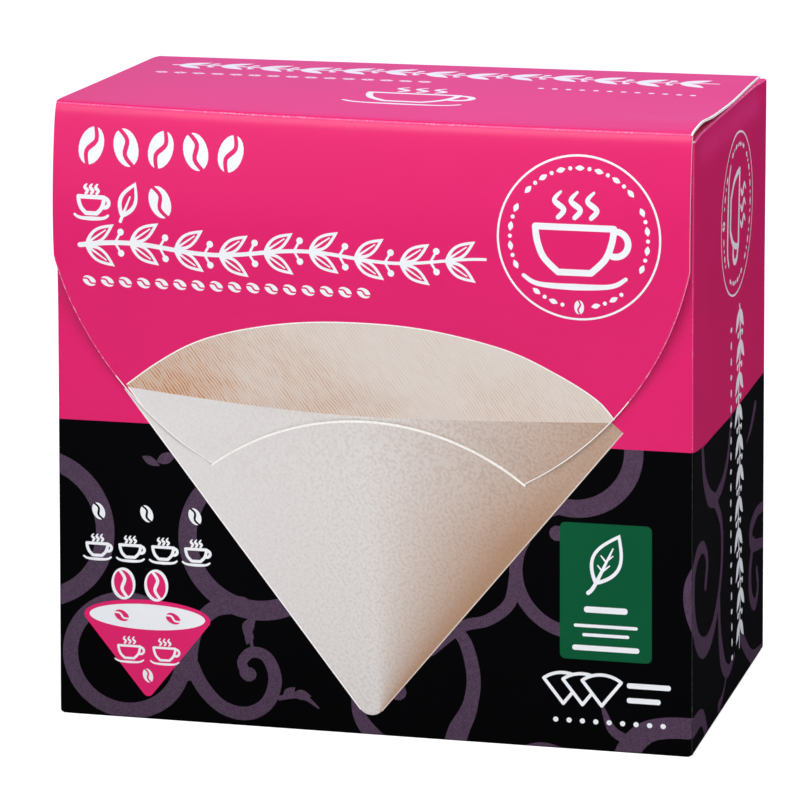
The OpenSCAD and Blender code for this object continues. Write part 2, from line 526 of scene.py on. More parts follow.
@dataclass
class Bean(Artwork):
    """A coffee bean with the furrow along its middle."""

    length: float
    ink: Ink = Ink.WHITE
    ground: Ink = Ink.PINK  # the ink of what lies under it, for the furrow

    def __post_init__(self) -> None:
        """Draws the bean upright, round its own middle."""
        half = self.length / 2
        self.fill(self.ink, ellipse((0.0, 0.0), half * 0.68, half, 22))
        bend, end, turn = half * 0.17, half * 1.02, half * 0.35
        furrow = ((-bend * 0.6, end), (bend, turn), (-bend, -turn), (bend * 0.6, -end))
        widths = (half * 0.2, half * 0.26, half * 0.2)
        self.line(self.ground, smooth(furrow, half / 5), widths, caps=False)


@dataclass
class Sprig(Artwork):
    """A long coffee branch: a waving stem, pairs of leaves and small round berries."""

    length: float
    height: float  # how tall it is with its leaves
    pairs: int  # how many pairs of leaves
    weight: float = 0.9  # the width of its lines
    open_leaves: bool = True  # whether the leaves are outlines or full

    def stem_at(self, share: float) -> Point:
        """The stem's point at a share of its length."""
        return self.length * share, self.height * 0.09 * math.sin(math.tau * share * self.pairs / 4.0)

    def add_leaf(self, foot: Point, side: int) -> None:
        """Draws one leaf.

        Args:
            foot: Where it leaves the stem.
            side: 1 for above the stem, -1 for below it.
        """
        reach = self.length / self.pairs
        tip = (foot[0] + reach * 0.66, foot[1] + side * self.height * 0.48)
        wide = math.dist(foot, tip) * 0.19
        self.fill(Ink.WHITE, blade(foot, tip, wide))
        if self.open_leaves:
            share = self.weight * 1.5 / math.dist(foot, tip)
            inner = (between(foot, tip, share), between(foot, tip, 1.0 - share))
            self.fill(Ink.PINK, blade(*inner, wide - self.weight * 0.72))
            vein = [foot, between(foot, tip, 0.72)]
            self.line(Ink.WHITE, vein, (self.weight * 0.7, self.weight * 0.3))

    def add_berry(self, pair: int, side: int) -> None:
        """Draws one berry on its stalk.

        Args:
            pair: The number of the pair of leaves before it.
            side: 1 for above the stem, -1 for below it.
        """
        x, z = self.stem_at((pair + 0.93) / self.pairs)
        berry = (x, z + side * self.height * 0.24)
        self.line(Ink.WHITE, [self.stem_at((pair + 0.8) / self.pairs), berry], (self.weight * 0.6,))
        self.disc(Ink.WHITE, berry, self.height * 0.08)

    def __post_init__(self) -> None:
        """Draws the branch to the right from its own zero."""
        steps = self.pairs * 8
        stem = [self.stem_at(i / steps) for i in range(steps + 1)]
        self.line(Ink.WHITE, stem, (self.weight * 1.2, self.weight, self.weight * 0.7))
        for i in range(self.pairs):
            foot = self.stem_at((i + 0.12) / self.pairs)
            for side in (-1, 1):
                self.add_leaf(foot, side)
            for side in (-1, 1) if i < self.pairs - 1 else ():
                self.add_berry(i, side)


@dataclass
class CupMark(Artwork):
    """A cup on its saucer with steam over it, drawn in lines."""

    width: float  # the width of the cup's rim
    weight: float  # the width of its lines
    ink: Ink = Ink.WHITE

    def __post_init__(self) -> None:
        """Draws the cup round its own middle."""
        w, line = self.width / 2, (self.weight,)
        left = [(-w, 0.36 * w), (-0.95 * w, 0.0), (-0.78 * w, -0.42 * w), (-0.42 * w, -0.78 * w)]
        right = [(-x, z) for x, z in reversed(left)]
        self.line(self.ink, smooth(left, 0.5), line)
        self.line(self.ink, [left[-1], right[0]], line)
        self.line(self.ink, smooth(right, 0.5), line)
        self.line(self.ink, [right[-1], left[0]], line)
        self.line(self.ink, arc((w * 1.04, -0.02 * w), 0.32 * w, 78, -104, 0.5), line)
        saucer = ((-1.3 * w, -0.9 * w), (-0.8 * w, -1.12 * w), (0.8 * w, -1.12 * w), (1.3 * w, -0.9 * w))
        self.line(self.ink, smooth(saucer, 0.7), (self.weight * 0.6, self.weight, self.weight * 0.6))
        for x in (-0.42 * w, 0.0, 0.42 * w):
            steam = ((x, 0.6 * w), (x + 0.14 * w, 0.8 * w), (x - 0.1 * w, 1.02 * w), (x + 0.06 * w, 1.24 * w))
            self.line(self.ink, smooth(steam, 0.4), (self.weight * 0.7, self.weight * 0.9, self.weight * 0.4))


@dataclass
class RoundEmblem(Artwork):
    """A thin ring round a cup, with dots and small leaves that follow the ring."""

    radius: float = 19.4  # the ring's outer radius
    ring: float = 0.5  # the ring's width
    cup_width: float = 18.6  # the width of the cup's rim
    cup_weight: float = 1.55  # the width of the cup's lines
    leaf: float = 1.15  # half the length of a small leaf
    runs: tuple[tuple[float, float], ...] = (  # the first and last angle of each run of leaves and dots
        (42, 138), (156, 204), (232, 256), (284, 308), (-24, 24),
    )

    def __post_init__(self) -> None:
        """Draws the emblem round its own middle."""
        for ink, radius in ((Ink.WHITE, self.radius), (Ink.PINK, self.radius - self.ring)):
            self.fill(ink, ellipse((0.0, 0.0), radius, radius, 96))
        self.add(CupMark(self.cup_width, self.cup_weight), (-1.0, -0.8))
        track = self.radius * 0.84
        for first, last in self.runs:
            count = round((last - first) / 8)
            for i in range(count + 1):
                angle = math.radians(first + (last - first) * i / count)
                x, z = track * math.cos(angle), track * math.sin(angle)
                if i % 2:
                    self.disc(Ink.WHITE, (x, z), 0.5)
                else:
                    along = angle + math.pi / 2
                    dx, dz = self.leaf * math.cos(along), self.leaf * math.sin(along)
                    self.fill(Ink.WHITE, blade((x - dx, z - dz), (x + dx, z + dz), 0.62, 0.5))
        self.add(Bean(3.4), (0.0, -track))


@dataclass
class FilterPicture(Artwork):
    """The picture of an opened paper cone: the inside of its back ply and the outside of its front."""

    back_rim: tuple[Point, ...] = (  # points of the back ply's rim, left to right
        (17.3, 83.4), (25.0, 89.1), (33.9, 94.3), (44.1, 97.8), (59.0, 100.6), (75.3, 101.4),
        (92.0, 100.4), (110.1, 96.6), (122.2, 91.4), (131.9, 85.6), (136.4, 80.6),
    )
    front_rim: tuple[Point, ...] = (  # points of the front ply's rim, left to right
        (17.7, 82.8), (36.4, 80.9), (61.0, 78.9), (84.0, 78.4), (110.0, 79.2), (135.4, 80.2),
    )
    right_corner: Point = (138.4, 77.6)  # where the front ply's right edge starts
    tip: Point = (77.4, 5.0)  # the lowest point
    tip_radius: float = 3.4  # the radius of the blunt tip
    outline: float = 0.3  # the width of the pale line along the edges

    def __post_init__(self) -> None:
        """Draws the cone where it lies on the front panel."""
        rim = smooth(self.back_rim, 1.6)
        front = smooth(self.front_rim, 2.0)
        left = self.front_rim[0]
        px, pz = pivot = (self.tip[0], self.tip[1] + self.tip_radius)
        ends = (left, self.right_corner)
        left_turn, right_turn = (math.degrees(math.atan2(z - pz, x - px)) for x, z in ends)
        blunt = arc(pivot, self.tip_radius, left_turn + 90, right_turn + 270, 0.5)
        self.fill(Ink.PLY_INSIDE, [*rim, *reversed(front)])
        self.fill(Ink.PLY_OUTSIDE, [*front, self.right_corner, *reversed(blunt)])
        self.line(Ink.CUT, rim, (self.outline,), caps=False)
        self.line(Ink.CUT, [left, blunt[0]], (self.outline,), caps=False)
        self.line(Ink.PLY_INSIDE, [self.right_corner, blunt[-1]], (self.outline,), caps=False)


@dataclass
class ConeBadge(Artwork):
    """A small pink cone with a pale rim, and two cups and a bean on it."""

    width: float = 31.4  # the width of the rim
    depth: float = 19.8
    tip_radius: float = 1.3  # the radius of its blunt tip

    def __post_init__(self) -> None:
        """Draws the cone below its rim, whose middle is its own zero."""
        half = self.width / 2
        tip = arc((0.0, self.tip_radius - self.depth), self.tip_radius, 218, 322, 0.4)
        self.fill(Ink.PINK, [(-half, -0.6), *tip, (half, -0.6)])
        self.fill(Ink.PINK, ellipse((0.0, 0.0), half, 4.4, 48))
        self.fill(Ink.WHITE, ellipse((0.0, 0.1), half - 1.3, 3.2, 48))
        for x in (-4.6, 4.2):
            self.add(CupMark(5.4, 0.6), (x, -8.4))
        self.add(Bean(3.6), (0.0, -14.6), 20.0)
        for x in (-6.4, 6.4):
            self.add(Bean(3.8, Ink.PINK, Ink.WHITE), (x, 0.1), 64.0)


@dataclass
class LeafLabel(Artwork):
    """A green label with a leaf in outline and four short bars under it."""

    low: Point = (123.4, 22.3)  # its lower left corner
    high: Point = (145.3, 55.5)  # its upper right corner
    corner: float = 1.3  # the radius of its corners
    bars: tuple[Solid, ...] = (  # the height, half the length and the thickness of each bar
        (34.6, 5.2, 1.5), (30.6, 7.6, 0.8), (28.4, 5.6, 0.8), (25.2, 8.0, 1.3),
    )

    def __post_init__(self) -> None:
        """Draws the label where it lies on the front panel."""
        self.fill(Ink.GREEN, rounded_box(self.low, self.high, self.corner))
        middle = (self.low[0] + self.high[0]) / 2
        foot, tip = (middle - 2.6, 40.6), (middle + 3.4, 53.2)
        self.fill(Ink.WHITE, blade(foot, tip, 3.7))
        self.fill(Ink.GREEN, blade((foot[0] + 0.5, foot[1] + 1.1), (tip[0] - 0.55, tip[1] - 1.15), 2.9))
        vein = smooth(((foot[0] - 1.6, 38.6), foot, (middle + 1.8, 49.8)), 0.6)
        self.line(Ink.WHITE, vein, (1.0, 0.8, 0.3))
        for x, z in ((0.1, 44.6), (0.9, 47.0)):
            for side in (-1, 1):
                start = (middle + x - 0.9, z - 0.6)
                self.line(Ink.WHITE, [start, (start[0] + side * 1.5 + 0.3, start[1] + 1.5)], (0.5, 0.3))
        for z, reach, thick in self.bars:
            self.fill(Ink.WHITE, bar(middle - reach, middle + reach, z, thick, thick * 0.45))


@dataclass
class FilterRow(Artwork):
    """A row of flat paper cones, one over the next, as a sign for the stack in the carton."""

    count: int = 3
    size: float = 7.6  # the height of a cone
    pitch: float = 4.6  # how far apart they stand
    weight: float = 0.8  # the width of their lines

    def __post_init__(self) -> None:
        """Draws the row to the right from the first cone's middle."""
        for i in range(self.count):
            tip = (i * self.pitch, -self.size / 2)
            cone = [tip, *reversed(arc(tip, self.size, 128, 52, 0.6))]
            self.fill(Ink.BLACK, cone)
            for a, b in pairs(cone):
                self.line(Ink.WHITE, [a, b], (self.weight,))


@dataclass
class InkFinder:
    """Finds the topmost area of an artwork at a point, with the areas sorted into square cells."""

    artwork: Artwork
    ground: Ink  # the ink where no area lies
    cell: float = 3.0  # the side of a cell

    def __post_init__(self) -> None:
        """Sorts the areas into the cells that they touch, the topmost first."""
        self.cells: dict[tuple[int, int], list[int]] = {}
        for k in range(len(self.artwork.areas) - 1, -1, -1):
            loop = self.artwork.areas[k][1]
            low = [int(min(p[i] for p in loop) // self.cell) for i in (0, 1)]
            high = [int(max(p[i] for p in loop) // self.cell) for i in (0, 1)]
            for i in range(low[0], high[0] + 1):
                for j in range(low[1], high[1] + 1):
                    self.cells.setdefault((i, j), []).append(k)

    def at(self, x: float, z: float) -> Ink:
        """Reads the print at a point.

        Args:
            x: Its distance to the right.
            z: Its height.

        Returns:
            The ink that shows there.
        """
        for k in self.cells.get((int(x // self.cell), int(z // self.cell)), ()):
            ink, loop = self.artwork.areas[k]
            if holds(loop, x, z):
                return ink
        return self.ground


@dataclass
class PaperSheet:
    """A sheet of printed board: a flat outline with its print, carried into place."""

    name: str
    outline: Loop  # the flat outline, anticlockwise as its outer face is seen
    place: Place  # gives the outer face's point in space, in millimetres, from its flat point
    artwork: Artwork  # the print on the outer face
    ground: Ink  # the ink where no area lies
    thickness: float
    cuts: list[Loop] = field(default_factory=list)  # closed loops that are cut out
    folds: list[tuple[Point, Point]] = field(default_factory=list)  # flat lines along which the sheet bends
    bends: list[Point] = field(default_factory=list)  # flat points that let the sheet curve between its folds
    edge_ink: Callable[[float, float], Ink] = lambda u, v: Ink.CUT  # gives the edge's ink at a flat point
    reach: float = 3.2  # the longest edge that a mesh triangle takes from the outline, the print or a fold
    merge: float = 0.0001  # how near two flat points are one
    probe: float = 0.02  # how far apart the points are placed that give the sheet's direction

    def flat_mesh(self) -> tuple[list[Point], list[tuple[int, int, int]], list[Ink]]:
        """Cuts the flat sheet into triangles that follow every line of its print.

        Returns:
            The flat points, the triangles and the ink of each.
        """
        points: Loop = []
        edges: list[tuple[int, int]] = []
        for loop in [self.outline, *self.cuts, *(loop for _, loop in self.artwork.areas)]:
            first = len(points)
            for a, b in pairs(loop):
                points += divided(a, b, self.reach)[:-1]
            edges += pairs(range(first, len(points)))
        for a, b in self.folds:
            first = len(points)
            points += divided(a, b, self.reach)
            edges += [(i, i + 1) for i in range(first, len(points) - 1)]
        points += self.bends
        spots = [Vector(p) for p in points]
        verts, _, tris, _, _, _ = delaunay_2d_cdt(spots, edges, [], 0, self.merge, False)
        finder = InkFinder(self.artwork, self.ground)
        triangles: list[tuple[int, int, int]] = []
        inks: list[Ink] = []
        for tri in tris:
            x, z = (sum(verts[i][k] for i in tri) / 3 for k in (0, 1))
            if holds(self.outline, x, z) and not any(holds(cut, x, z) for cut in self.cuts):
                triangles.append(tuple(tri))
                inks.append(finder.at(x, z))
        return [(p[0], p[1]) for p in verts], triangles, inks

    def facing(self, u: float, v: float) -> tuple[Vector, Vector]:
        """The outer face's point and the direction that it faces.

        Args:
            u: Across the flat sheet.
            v: Up the flat sheet.

        Returns:
            The point in millimetres and the unit normal.
        """
        h = self.probe
        across = Vector(self.place(u + h, v)) - Vector(self.place(u - h, v))
        along = Vector(self.place(u, v + h)) - Vector(self.place(u, v - h))
        return Vector(self.place(u, v)), across.cross(along).normalized()

    def build(self, finishes: Finishes) -> bpy.types.Object:
        """Makes the sheet's mesh, with its thickness and its finishes.

        Args:
            finishes: The material of each ink.

        Returns:
            The new object.
        """
        flat, tris, inks = self.flat_mesh()
        used = sorted({i for tri in tris for i in tri})
        index = {old: new for new, old in enumerate(used)}
        flat = [flat[i] for i in used]
        spots = [self.facing(*spot) for spot in flat]
        count = len(used)
        verts = [p * MM for p, _ in spots] + [(p - n * self.thickness) * MM for p, n in spots]
        outer = [tuple(index[i] for i in tri) for tri in tris]
        outer = [t if area_of([flat[i] for i in t]) > 0 else (t[0], t[2], t[1]) for t in outer]
        inner = [(t[0], t[2], t[1]) for t in outer]
        directed = {pair for t in outer for pair in pairs(t)}
        rims = sorted((a, b) for a, b in directed if (b, a) not in directed)
        faces: list[tuple[int, ...]] = [*outer, *(tuple(i + count for i in t) for t in inner)]
        faces += [(a, a + count, b + count, b) for a, b in rims]
        rim_inks = [self.edge_ink(*between(flat[a], flat[b], 0.5)) for a, b in rims]
        face_inks = [*inks, *([Ink.BARE] * len(inks)), *rim_inks]
        mesh = bpy.data.meshes.new(self.name)
        mesh.from_pydata([tuple(v) for v in verts], [], faces)
        present = [ink for ink in Ink if ink in set(face_inks)]
        for ink in present:
            mesh.materials.append(finishes[ink])
        mesh.polygons.foreach_set("material_index", [present.index(ink) for ink in face_inks])
        mesh.polygons.foreach_set("use_smooth", [True] * len(faces))
        normals = [spots[i][1] for t in outer for i in t]
        normals += [-spots[i][1] for t in inner for i in t]
        for a, b in rims:
            edge_normal = (verts[b] - verts[a]).cross(verts[a] - verts[a + count]).normalized()
            normals += [edge_normal] * 4
        mesh.normals_split_custom_set(normals)
        mesh.update()
        return shown(self.name, mesh)


def grid(low: Point, high: Point, step: float) -> Loop:
    """Evenly spread points in a rectangle.

    Args:
        low: Its lower left corner.
        high: Its upper right corner.
        step: About how far apart they lie.

    Returns:
        The points.
    """
    nu = max(1, round((high[0] - low[0]) / step))
    nv = max(1, round((high[1] - low[1]) / step))
    return [
        (low[0] + (high[0] - low[0]) * (i + 0.5) / nu, low[1] + (high[1] - low[1]) * (j + 0.5) / nv)
        for i in range(nu)
        for j in range(nv)
    ]


@dataclass
class CartonForm:
    """The carton's sizes, which its sheets share, and its small departures from a true box."""

    width: float  # across the front
    depth: float  # front to back
    wall_top: float  # the height of the walls
    lid_crease: float  # the height of the lid's front crease
    board: float = 0.5
    crease_radius: float = 0.8  # the outer radius of the upright creases
    fold_radius: float = 0.6  # the outer radius of the creases at the bottom and the dust flaps
    band_top: float = 73.7  # the height of the black band
    slit_left: float = 39.1  # how far the arched slit reaches to the left of the middle
    slit_right: float = 37.6  # how far it reaches to the right
    slit_top: float = 77.4  # the height of its arch in the middle
    lip_out: float = 0.82  # how far the panel stands out below the slit
    lip_in: float = 0.42  # how far it is pushed in above the slit
    lip_out_reach: float = 7.0  # how far below the slit it is still well out
    lip_in_reach: float = 3.0  # how far above the slit it is still well in
    flap_tip: float = 54.5  # the height of the flap's lowest point
    flap_radius: float = 79.0  # the radius of the flap's round end
    flap_stand: float = 0.683  # how far the flap's outer face stands out from the front panel's
    lean: float = 1.4  # how far the left side leans in at its top, at the front
    lean_back: float = 0.7  # how far it leans out there at the back
    foot_left: float = 1.1  # how far the left side stands out at the bottom
    foot_right: float = 0.5  # how far the right side stands out there
    foot_height: float = 100.0  # the height over which they stand out

    @cached_property
    def flap_centre(self) -> Point:
        """The centre of the flap's round end, on the front panel."""
        return self.width / 2, self.flap_tip + self.flap_radius

    @cached_property
    def slit_ends(self) -> tuple[Point, ...]:
        """The slit's left end and its right one, which lie on the line of the flap's round end."""
        (x, z), r = self.flap_centre, self.flap_radius
        return tuple((x + off, z - math.sqrt(r**2 - off**2)) for off in (-self.slit_left, self.slit_right))

    @cached_property
    def arch(self) -> tuple[Point, float]:
        """The centre and the radius of the slit's arch."""
        return circle_through(self.slit_ends[0], (self.width / 2, self.slit_top), self.slit_ends[1])

    def arch_line(self, off: float = 0.0, past: float = 0.3) -> Loop:
        """Points along the slit, from its right end to its left one.

        Args:
            off: How far outside the arch they lie.
            past: How far they run on past its ends.

        Returns:
            The points.
        """
        centre, radius = self.arch
        left, right = (math.atan2(z - centre[1], x - centre[0]) for x, z in self.slit_ends)
        more = past / radius
        return arc(centre, radius + off, math.degrees(right - more), math.degrees(left + more), 1.2)

    def past_arch(self, x: float, z: float) -> float:
        """How far a point of the front lies outside the arch, below 0 inside it."""
        centre, radius = self.arch
        return math.dist((x, z), centre) - radius

    def slit_share(self, x: float) -> float:
        """How freely the board bends along the slit.

        Args:
            x: From the left side.

        Returns:
            From 1 at the slit's middle to 0 past its ends.
        """
        reach = (self.slit_left + self.slit_right) / 2 + 2.0
        off = abs(x - (self.width + self.slit_right - self.slit_left) / 2) / reach
        return math.sqrt(max(0.0, 1.0 - off**2.4))

    def lip_stand(self, x: float, z: float) -> float:
        """How far the front panel is pushed in above the slit, or out below it.

        Args:
            x: From the left side.
            z: Up the front.

        Returns:
            How far it stands out, below 0 where it is pushed in.
        """
        past, share = self.past_arch(x, z), self.slit_share(x)
        if past > 0:
            return -self.lip_in * share * math.exp(-past / self.lip_in_reach)
        return self.lip_out * share * math.exp(past / self.lip_out_reach)

    def racked(self, x: float, y: float, z: float) -> Solid:
        """Leans the carton's left side in, as the real one does, and puts its middle at zero.

        Args:
            x: From the left side.
            y: From the middle, to the back.
            z: Up.

        Returns:
            The point in the frame's axes.
        """
        front = kept(0.5 - y / self.depth)
        lean = self.lean * front - self.lean_back * (1.0 - front)
        across = kept(x / self.width)
        low = max(0.0, 1.0 - max(0.0, z) / self.foot_height)
        spread = (self.foot_right * across**6 - self.foot_left * (1.0 - across) ** 6) * low
        lean *= (1.0 - x / self.width) * max(0.0, z) / self.wall_top
        return x + lean + spread - self.width / 2, y, z


@dataclass
class FoldedWalls:
    """The path of the walls in plan: straight panels with round creases between them."""

    start: Point  # where the path starts, from the left side and from the middle
    heading: float  # the direction of the first panel, in degrees
    legs: tuple[float, ...]  # the length of each panel
    radius: float  # the outer radius of the creases

    def at(self, s: float) -> tuple[Point, Point]:
        """A point of the outer face.

        Args:
            s: How far along the path, measured to the sharp corners.

        Returns:
            The point and the direction that the face looks in.
        """
        x, y = self.start
        turn = math.radians(self.heading)
        ahead = (math.cos(turn), math.sin(turn))
        gone = 0.0
        for k, leg in enumerate(self.legs):
            end = gone + leg
            last = k == len(self.legs) - 1
            corner = (x + ahead[0] * leg, y + ahead[1] * leg)
            inward = (-ahead[1], ahead[0])
            if not last and abs(s - end) < self.radius:
                r = self.radius
                phi = math.radians(45.0) * (1.0 + (s - end) / r)
                centre = (corner[0] - r * ahead[0] + r * inward[0], corner[1] - r * ahead[1] + r * inward[1])
                out = (
                    math.sin(phi) * ahead[0] - math.cos(phi) * inward[0],
                    math.sin(phi) * ahead[1] - math.cos(phi) * inward[1],
                )
                return (centre[0] + r * out[0], centre[1] + r * out[1]), out
            if s < end or last:
                spot = (x + ahead[0] * (s - gone), y + ahead[1] * (s - gone))
                return spot, (-inward[0], -inward[1])
            x, y = corner
            gone = end
            ahead = inward
        raise ValueError("the walls have no panels")


@dataclass
class CartonShell:
    """The carton's body: four walls round their creases, the glued bottom, seam and dust flaps."""

    form: CartonForm
    dust_length: float = 42.0  # how far a dust flap reaches in
    dust_corner: float = 12.0  # the radius of its free corners
    dust_gap: float = 1.2  # how far it stands in from the front and the back
    bottom_length: float = 44.0  # how far the side bottom flaps reach in
    bottom_inset: float = 0.9  # how far the bottom panel stands in from the sides and the back
    seam_width: float = 14.0
    slit_gap: float = 0.24  # the width of the cut of the slit
    side_dip: float = 0.85  # how far the sides lean in at their top crease
    dip_height: float = 9.0  # the height over which they lean in
    side_hollow: float = 0.5  # how far the sides curve in at their middle
    front_press: float = 0.25  # how far the front is pressed in at its top
    left_trim: float = 0.3  # how much shorter the left side is than the right one
    foot: float = 0.15  # the height where the outline passes from one bottom flap to the next
    brow: float = 0.2  # how far below the top crease it passes from one upper flap to the next
    print_bleed: float = 5.0  # how far the print runs on past a crease
    crease_sheen_width: float = 0.32  # the width of the lighter line along an upright crease: a painted highlight with real worn cracks

    def __post_init__(self) -> None:
        """Lays out the walls: left side, front, right side, back and the seam."""
        f = self.form
        self.left = f.depth - self.left_trim
        self.back = f.width + f.depth
        self.seam = 2 * f.width + f.depth - f.board
        legs = (self.left, f.width, f.depth, f.width - f.board, self.seam_width)
        self.walls = FoldedWalls((0.0, f.depth / 2 - self.left_trim), -90.0, legs, f.crease_radius)
        self.corners = (0.0, f.width, self.back, self.seam)
        self.sides = ((-self.left, 0.0), (f.width, self.back))

    def on_side(self, u: float) -> float:
        """How much a point belongs to a side wall.

        Args:
            u: Along the unrolled walls.

        Returns:
            From 1 on a side to 0 on the front or the back.
        """
        f = self.form
        left = 1.0 - ease(-1.6, -0.2, u)
        right = ease(f.width + 0.2, f.width + 1.6, u) * (1.0 - ease(self.back - 1.6, self.back - 0.2, u))
        return max(left, right)

    def off_front(self, u: float) -> float:
        """How much a point lies away from the front panel, whose crease is the lowest."""
        return max(1.0 - ease(-1.5, 1.5, u), ease(self.form.width - 1.5, self.form.width + 1.5, u))

    def section(self, u: float, v: float) -> Point:
        """The upright section of a wall with its flaps.

        Args:
            u: Along the unrolled walls.
            v: Up them, with the bottom crease at 0.

        Returns:
            How far in from the wall's face, and the height.
        """
        f = self.form
        r, top = f.fold_radius, f.wall_top
        side = self.on_side(u)
        rise = f.board * self.off_front(u)
        if v < r:
            if v > -r:
                inward, down = bent(r, r - v)
                return inward, r - down + rise
            return -v, f.board * side * ease(r, r + 3.0, -v) + rise
        if v > top - r and side > 0.0:
            if v < top + r:
                inward, up = bent(r, v - top + r)
                z = top - r + up
            else:
                inward, z = v - top, top - 0.018 * (v - top - r)
            return inward * side, z * side + v * (1.0 - side)
        return 0.0, v + rise * (1.0 - ease(r, 10.0, v))

    def place(self, u: float, v: float) -> Solid:
        """Carries a flat point of the shell to its place.

        Args:
            u: Along the unrolled walls, with the front's left crease at 0.
            v: Up them.

        Returns:
            The point of the outer face.
        """
        f = self.form
        (x, y), (nx, ny) = self.walls.at(u + self.left)
        inward, z = self.section(u, v)
        out = -inward
        if 0.0 < u < f.width and 0.0 < v < f.wall_top:
            out += f.lip_stand(u, v)
            out -= self.front_press * math.sin(math.pi * u / f.width) * ease(110.0, f.wall_top, v)
        along = -u if u < 0 else u - f.width
        if 0.0 < along < f.depth:
            near = ease(0.0, 14.0, along) * ease(f.depth, f.depth - 14.0, along)
            dip = ease(f.wall_top - self.dip_height, f.wall_top, min(v, f.wall_top))
            out -= self.side_dip * near * dip
            belly = math.sin(math.pi * along / f.depth)
            out -= self.side_hollow * belly * ease(0.0, 50.0, v) * ease(150.0, 95.0, v)
        return f.racked(x + nx * out, y + ny * out, z)

    def outline(self) -> Loop:
        """The flat outline of the whole shell, anticlockwise.

        Returns:
            The loop: along the bottom flaps to the right, and back along the top.
        """
        f = self.form
        foot, brow = self.foot, f.wall_top - self.brow
        bottom = f.depth - self.bottom_inset
        panels = (
            (-self.left, 0.0, self.bottom_length, 3.0, 1.4),
            (0.0, f.width, bottom, self.bottom_inset, self.bottom_inset),
            (f.width, self.back, self.bottom_length, 1.4, 3.0),
            (self.back, self.seam, f.depth * 0.6, 3.4, 3.4),
        )
        loop: Loop = [(-self.left, foot)]
        for start, end, reach, near, far in panels:
            loop += [(start + near, foot), (start + near, -reach), (end - far, -reach), (end - far, foot)]
        near, far = self.seam + 1.4, self.seam + self.seam_width
        loop += [(self.seam, foot), (near, 3.0), (far, 8.0)]
        loop += [(far, f.wall_top - 8.0), (near, f.wall_top - 2.0), (self.seam, brow)]
        for start, end in reversed(self.sides):
            loop += self.dust_outline(start, end)
        return [*loop, (-self.left, brow)]

    def dust_outline(self, start: float, end: float) -> Loop:
        """The outline of one dust flap, from its right end to its left one.

        Args:
            start: Where its panel starts.
            end: Where its panel ends.

        Returns:
            The points, with the panel's own top corners.
        """
        top, brow = self.form.wall_top, self.form.wall_top - self.brow
        reach, r, gap = self.dust_length, self.dust_corner, self.dust_gap
        right, left = end - gap - 0.6, start + gap + 0.6
        return [
            (end, brow),
            (end - gap, brow),
            (right, top + 3.0),
            *arc((right - r, top + reach - r), r, 0, 90, 1.0),
            *arc((left + r, top + reach - r), r, 90, 180, 1.0),
            (left, top + 3.0),
            (start + gap, brow),
            (start, brow),
        ]

    def slit(self) -> Loop:
        """The slit's cut: a narrow arched band with round ends."""
        lower, upper = (self.form.arch_line(side * self.slit_gap / 2) for side in (-1, 1))
        return [*upper, *lower[::-1]]

    def folds(self) -> list[tuple[Point, Point]]:
        """The flat lines along which the walls and flaps bend.

        Returns:
            The two ends of each: the upright creases, the bottom's and the dust flaps'.
        """
        f = self.form
        lines: list[tuple[Point, Point]] = []
        for corner in self.corners:
            for i in range(9):
                u = corner + f.crease_radius * (i / 4 - 1)
                lines.append(((u, self.foot), (u, f.wall_top - self.brow)))
        levels = ((0.0, -self.left, self.seam), *((f.wall_top, start, end) for start, end in self.sides))
        for level, start, end in levels:
            for i in range(7):
                v = level + f.fold_radius * (i / 3 - 1)
                lines.append(((start, v), (end, v)))
        return lines

    def bends(self) -> Loop:
        """Loose points where the panels curve a little.

        Returns:
            The points, closest where the curve is tightest.
        """
        f = self.form
        top, dip = f.wall_top, f.wall_top - self.dip_height
        spots = grid((26.0, 44.0), (129.0, 92.0), 2.4)
        spots += grid((3.0, 4.0), (f.width - 3.0, top - 3.0), 8.0)
        for start in (-self.left, f.width):
            end = start + f.depth
            spots += grid((start + 2.0, 4.0), (end - 4.0, dip - 3.0), 7.0)
            spots += grid((start + 2.0, dip - 2.0), (end - 3.0, top - 1.0), 2.0)
            spots += grid((start + 6.0, top + 2.0), (end - 6.0, top + 30.0), 7.0)
        return spots

    def grounds(self, art: Artwork) -> None:
        """Lays the black band with its ornament, and the pink above its edge that sweeps down.

        Args:
            art: The artwork that they go on.
        """
        f = self.form
        start, end = -self.left - 1.0, self.seam + 1.0
        low, high = -100.0, 125.0
        art.fill(Ink.BLACK, box((start, low), (end, f.band_top)))
        art.add(ScrollWork())
        art.add(PlainScroll(self.back + 6.0, self.seam - 6.0))
        art.add(PlainScroll(-self.left + 4.0, -14.0))
        drop = ((0.0, 0.0), (5.0, 0.8), (16.0, 1.9), (48.0, 2.8), (f.depth, 1.2))
        sweep = [(f.width + along, f.band_top - fall) for along, fall in drop]
        edge = [(start, f.band_top), *sweep, (self.back + 1.0, f.band_top), (end, f.band_top)]
        art.fill(Ink.PINK, [*edge, (end, high), (start, high)])
        art.fill(Ink.BLACK, box((start, low), (end, -0.2)))

    def side_print(self, art: Artwork) -> None:
        """Lays the emblem, the sprig and the line of beans down the right side.

        Args:
            art: The artwork that they go on.
        """
        start = self.form.width
        art.add(RoundEmblem(radius=20.0), (start + 54.6, 119.6), -90.0)
        art.add(Sprig(86.0, 10.4, 11, 0.9, open_leaves=False), (start + 60.0, 96.0), -90.0)
        row = Artwork()
        row.row(Bean(2.0, Ink.WHITE, Ink.WHITE), (0.0, 0.0), 3.9, 22, 0.0, 90.0, 90.0)
        art.add(row, (start + 49.6, 92.0), -90.0)

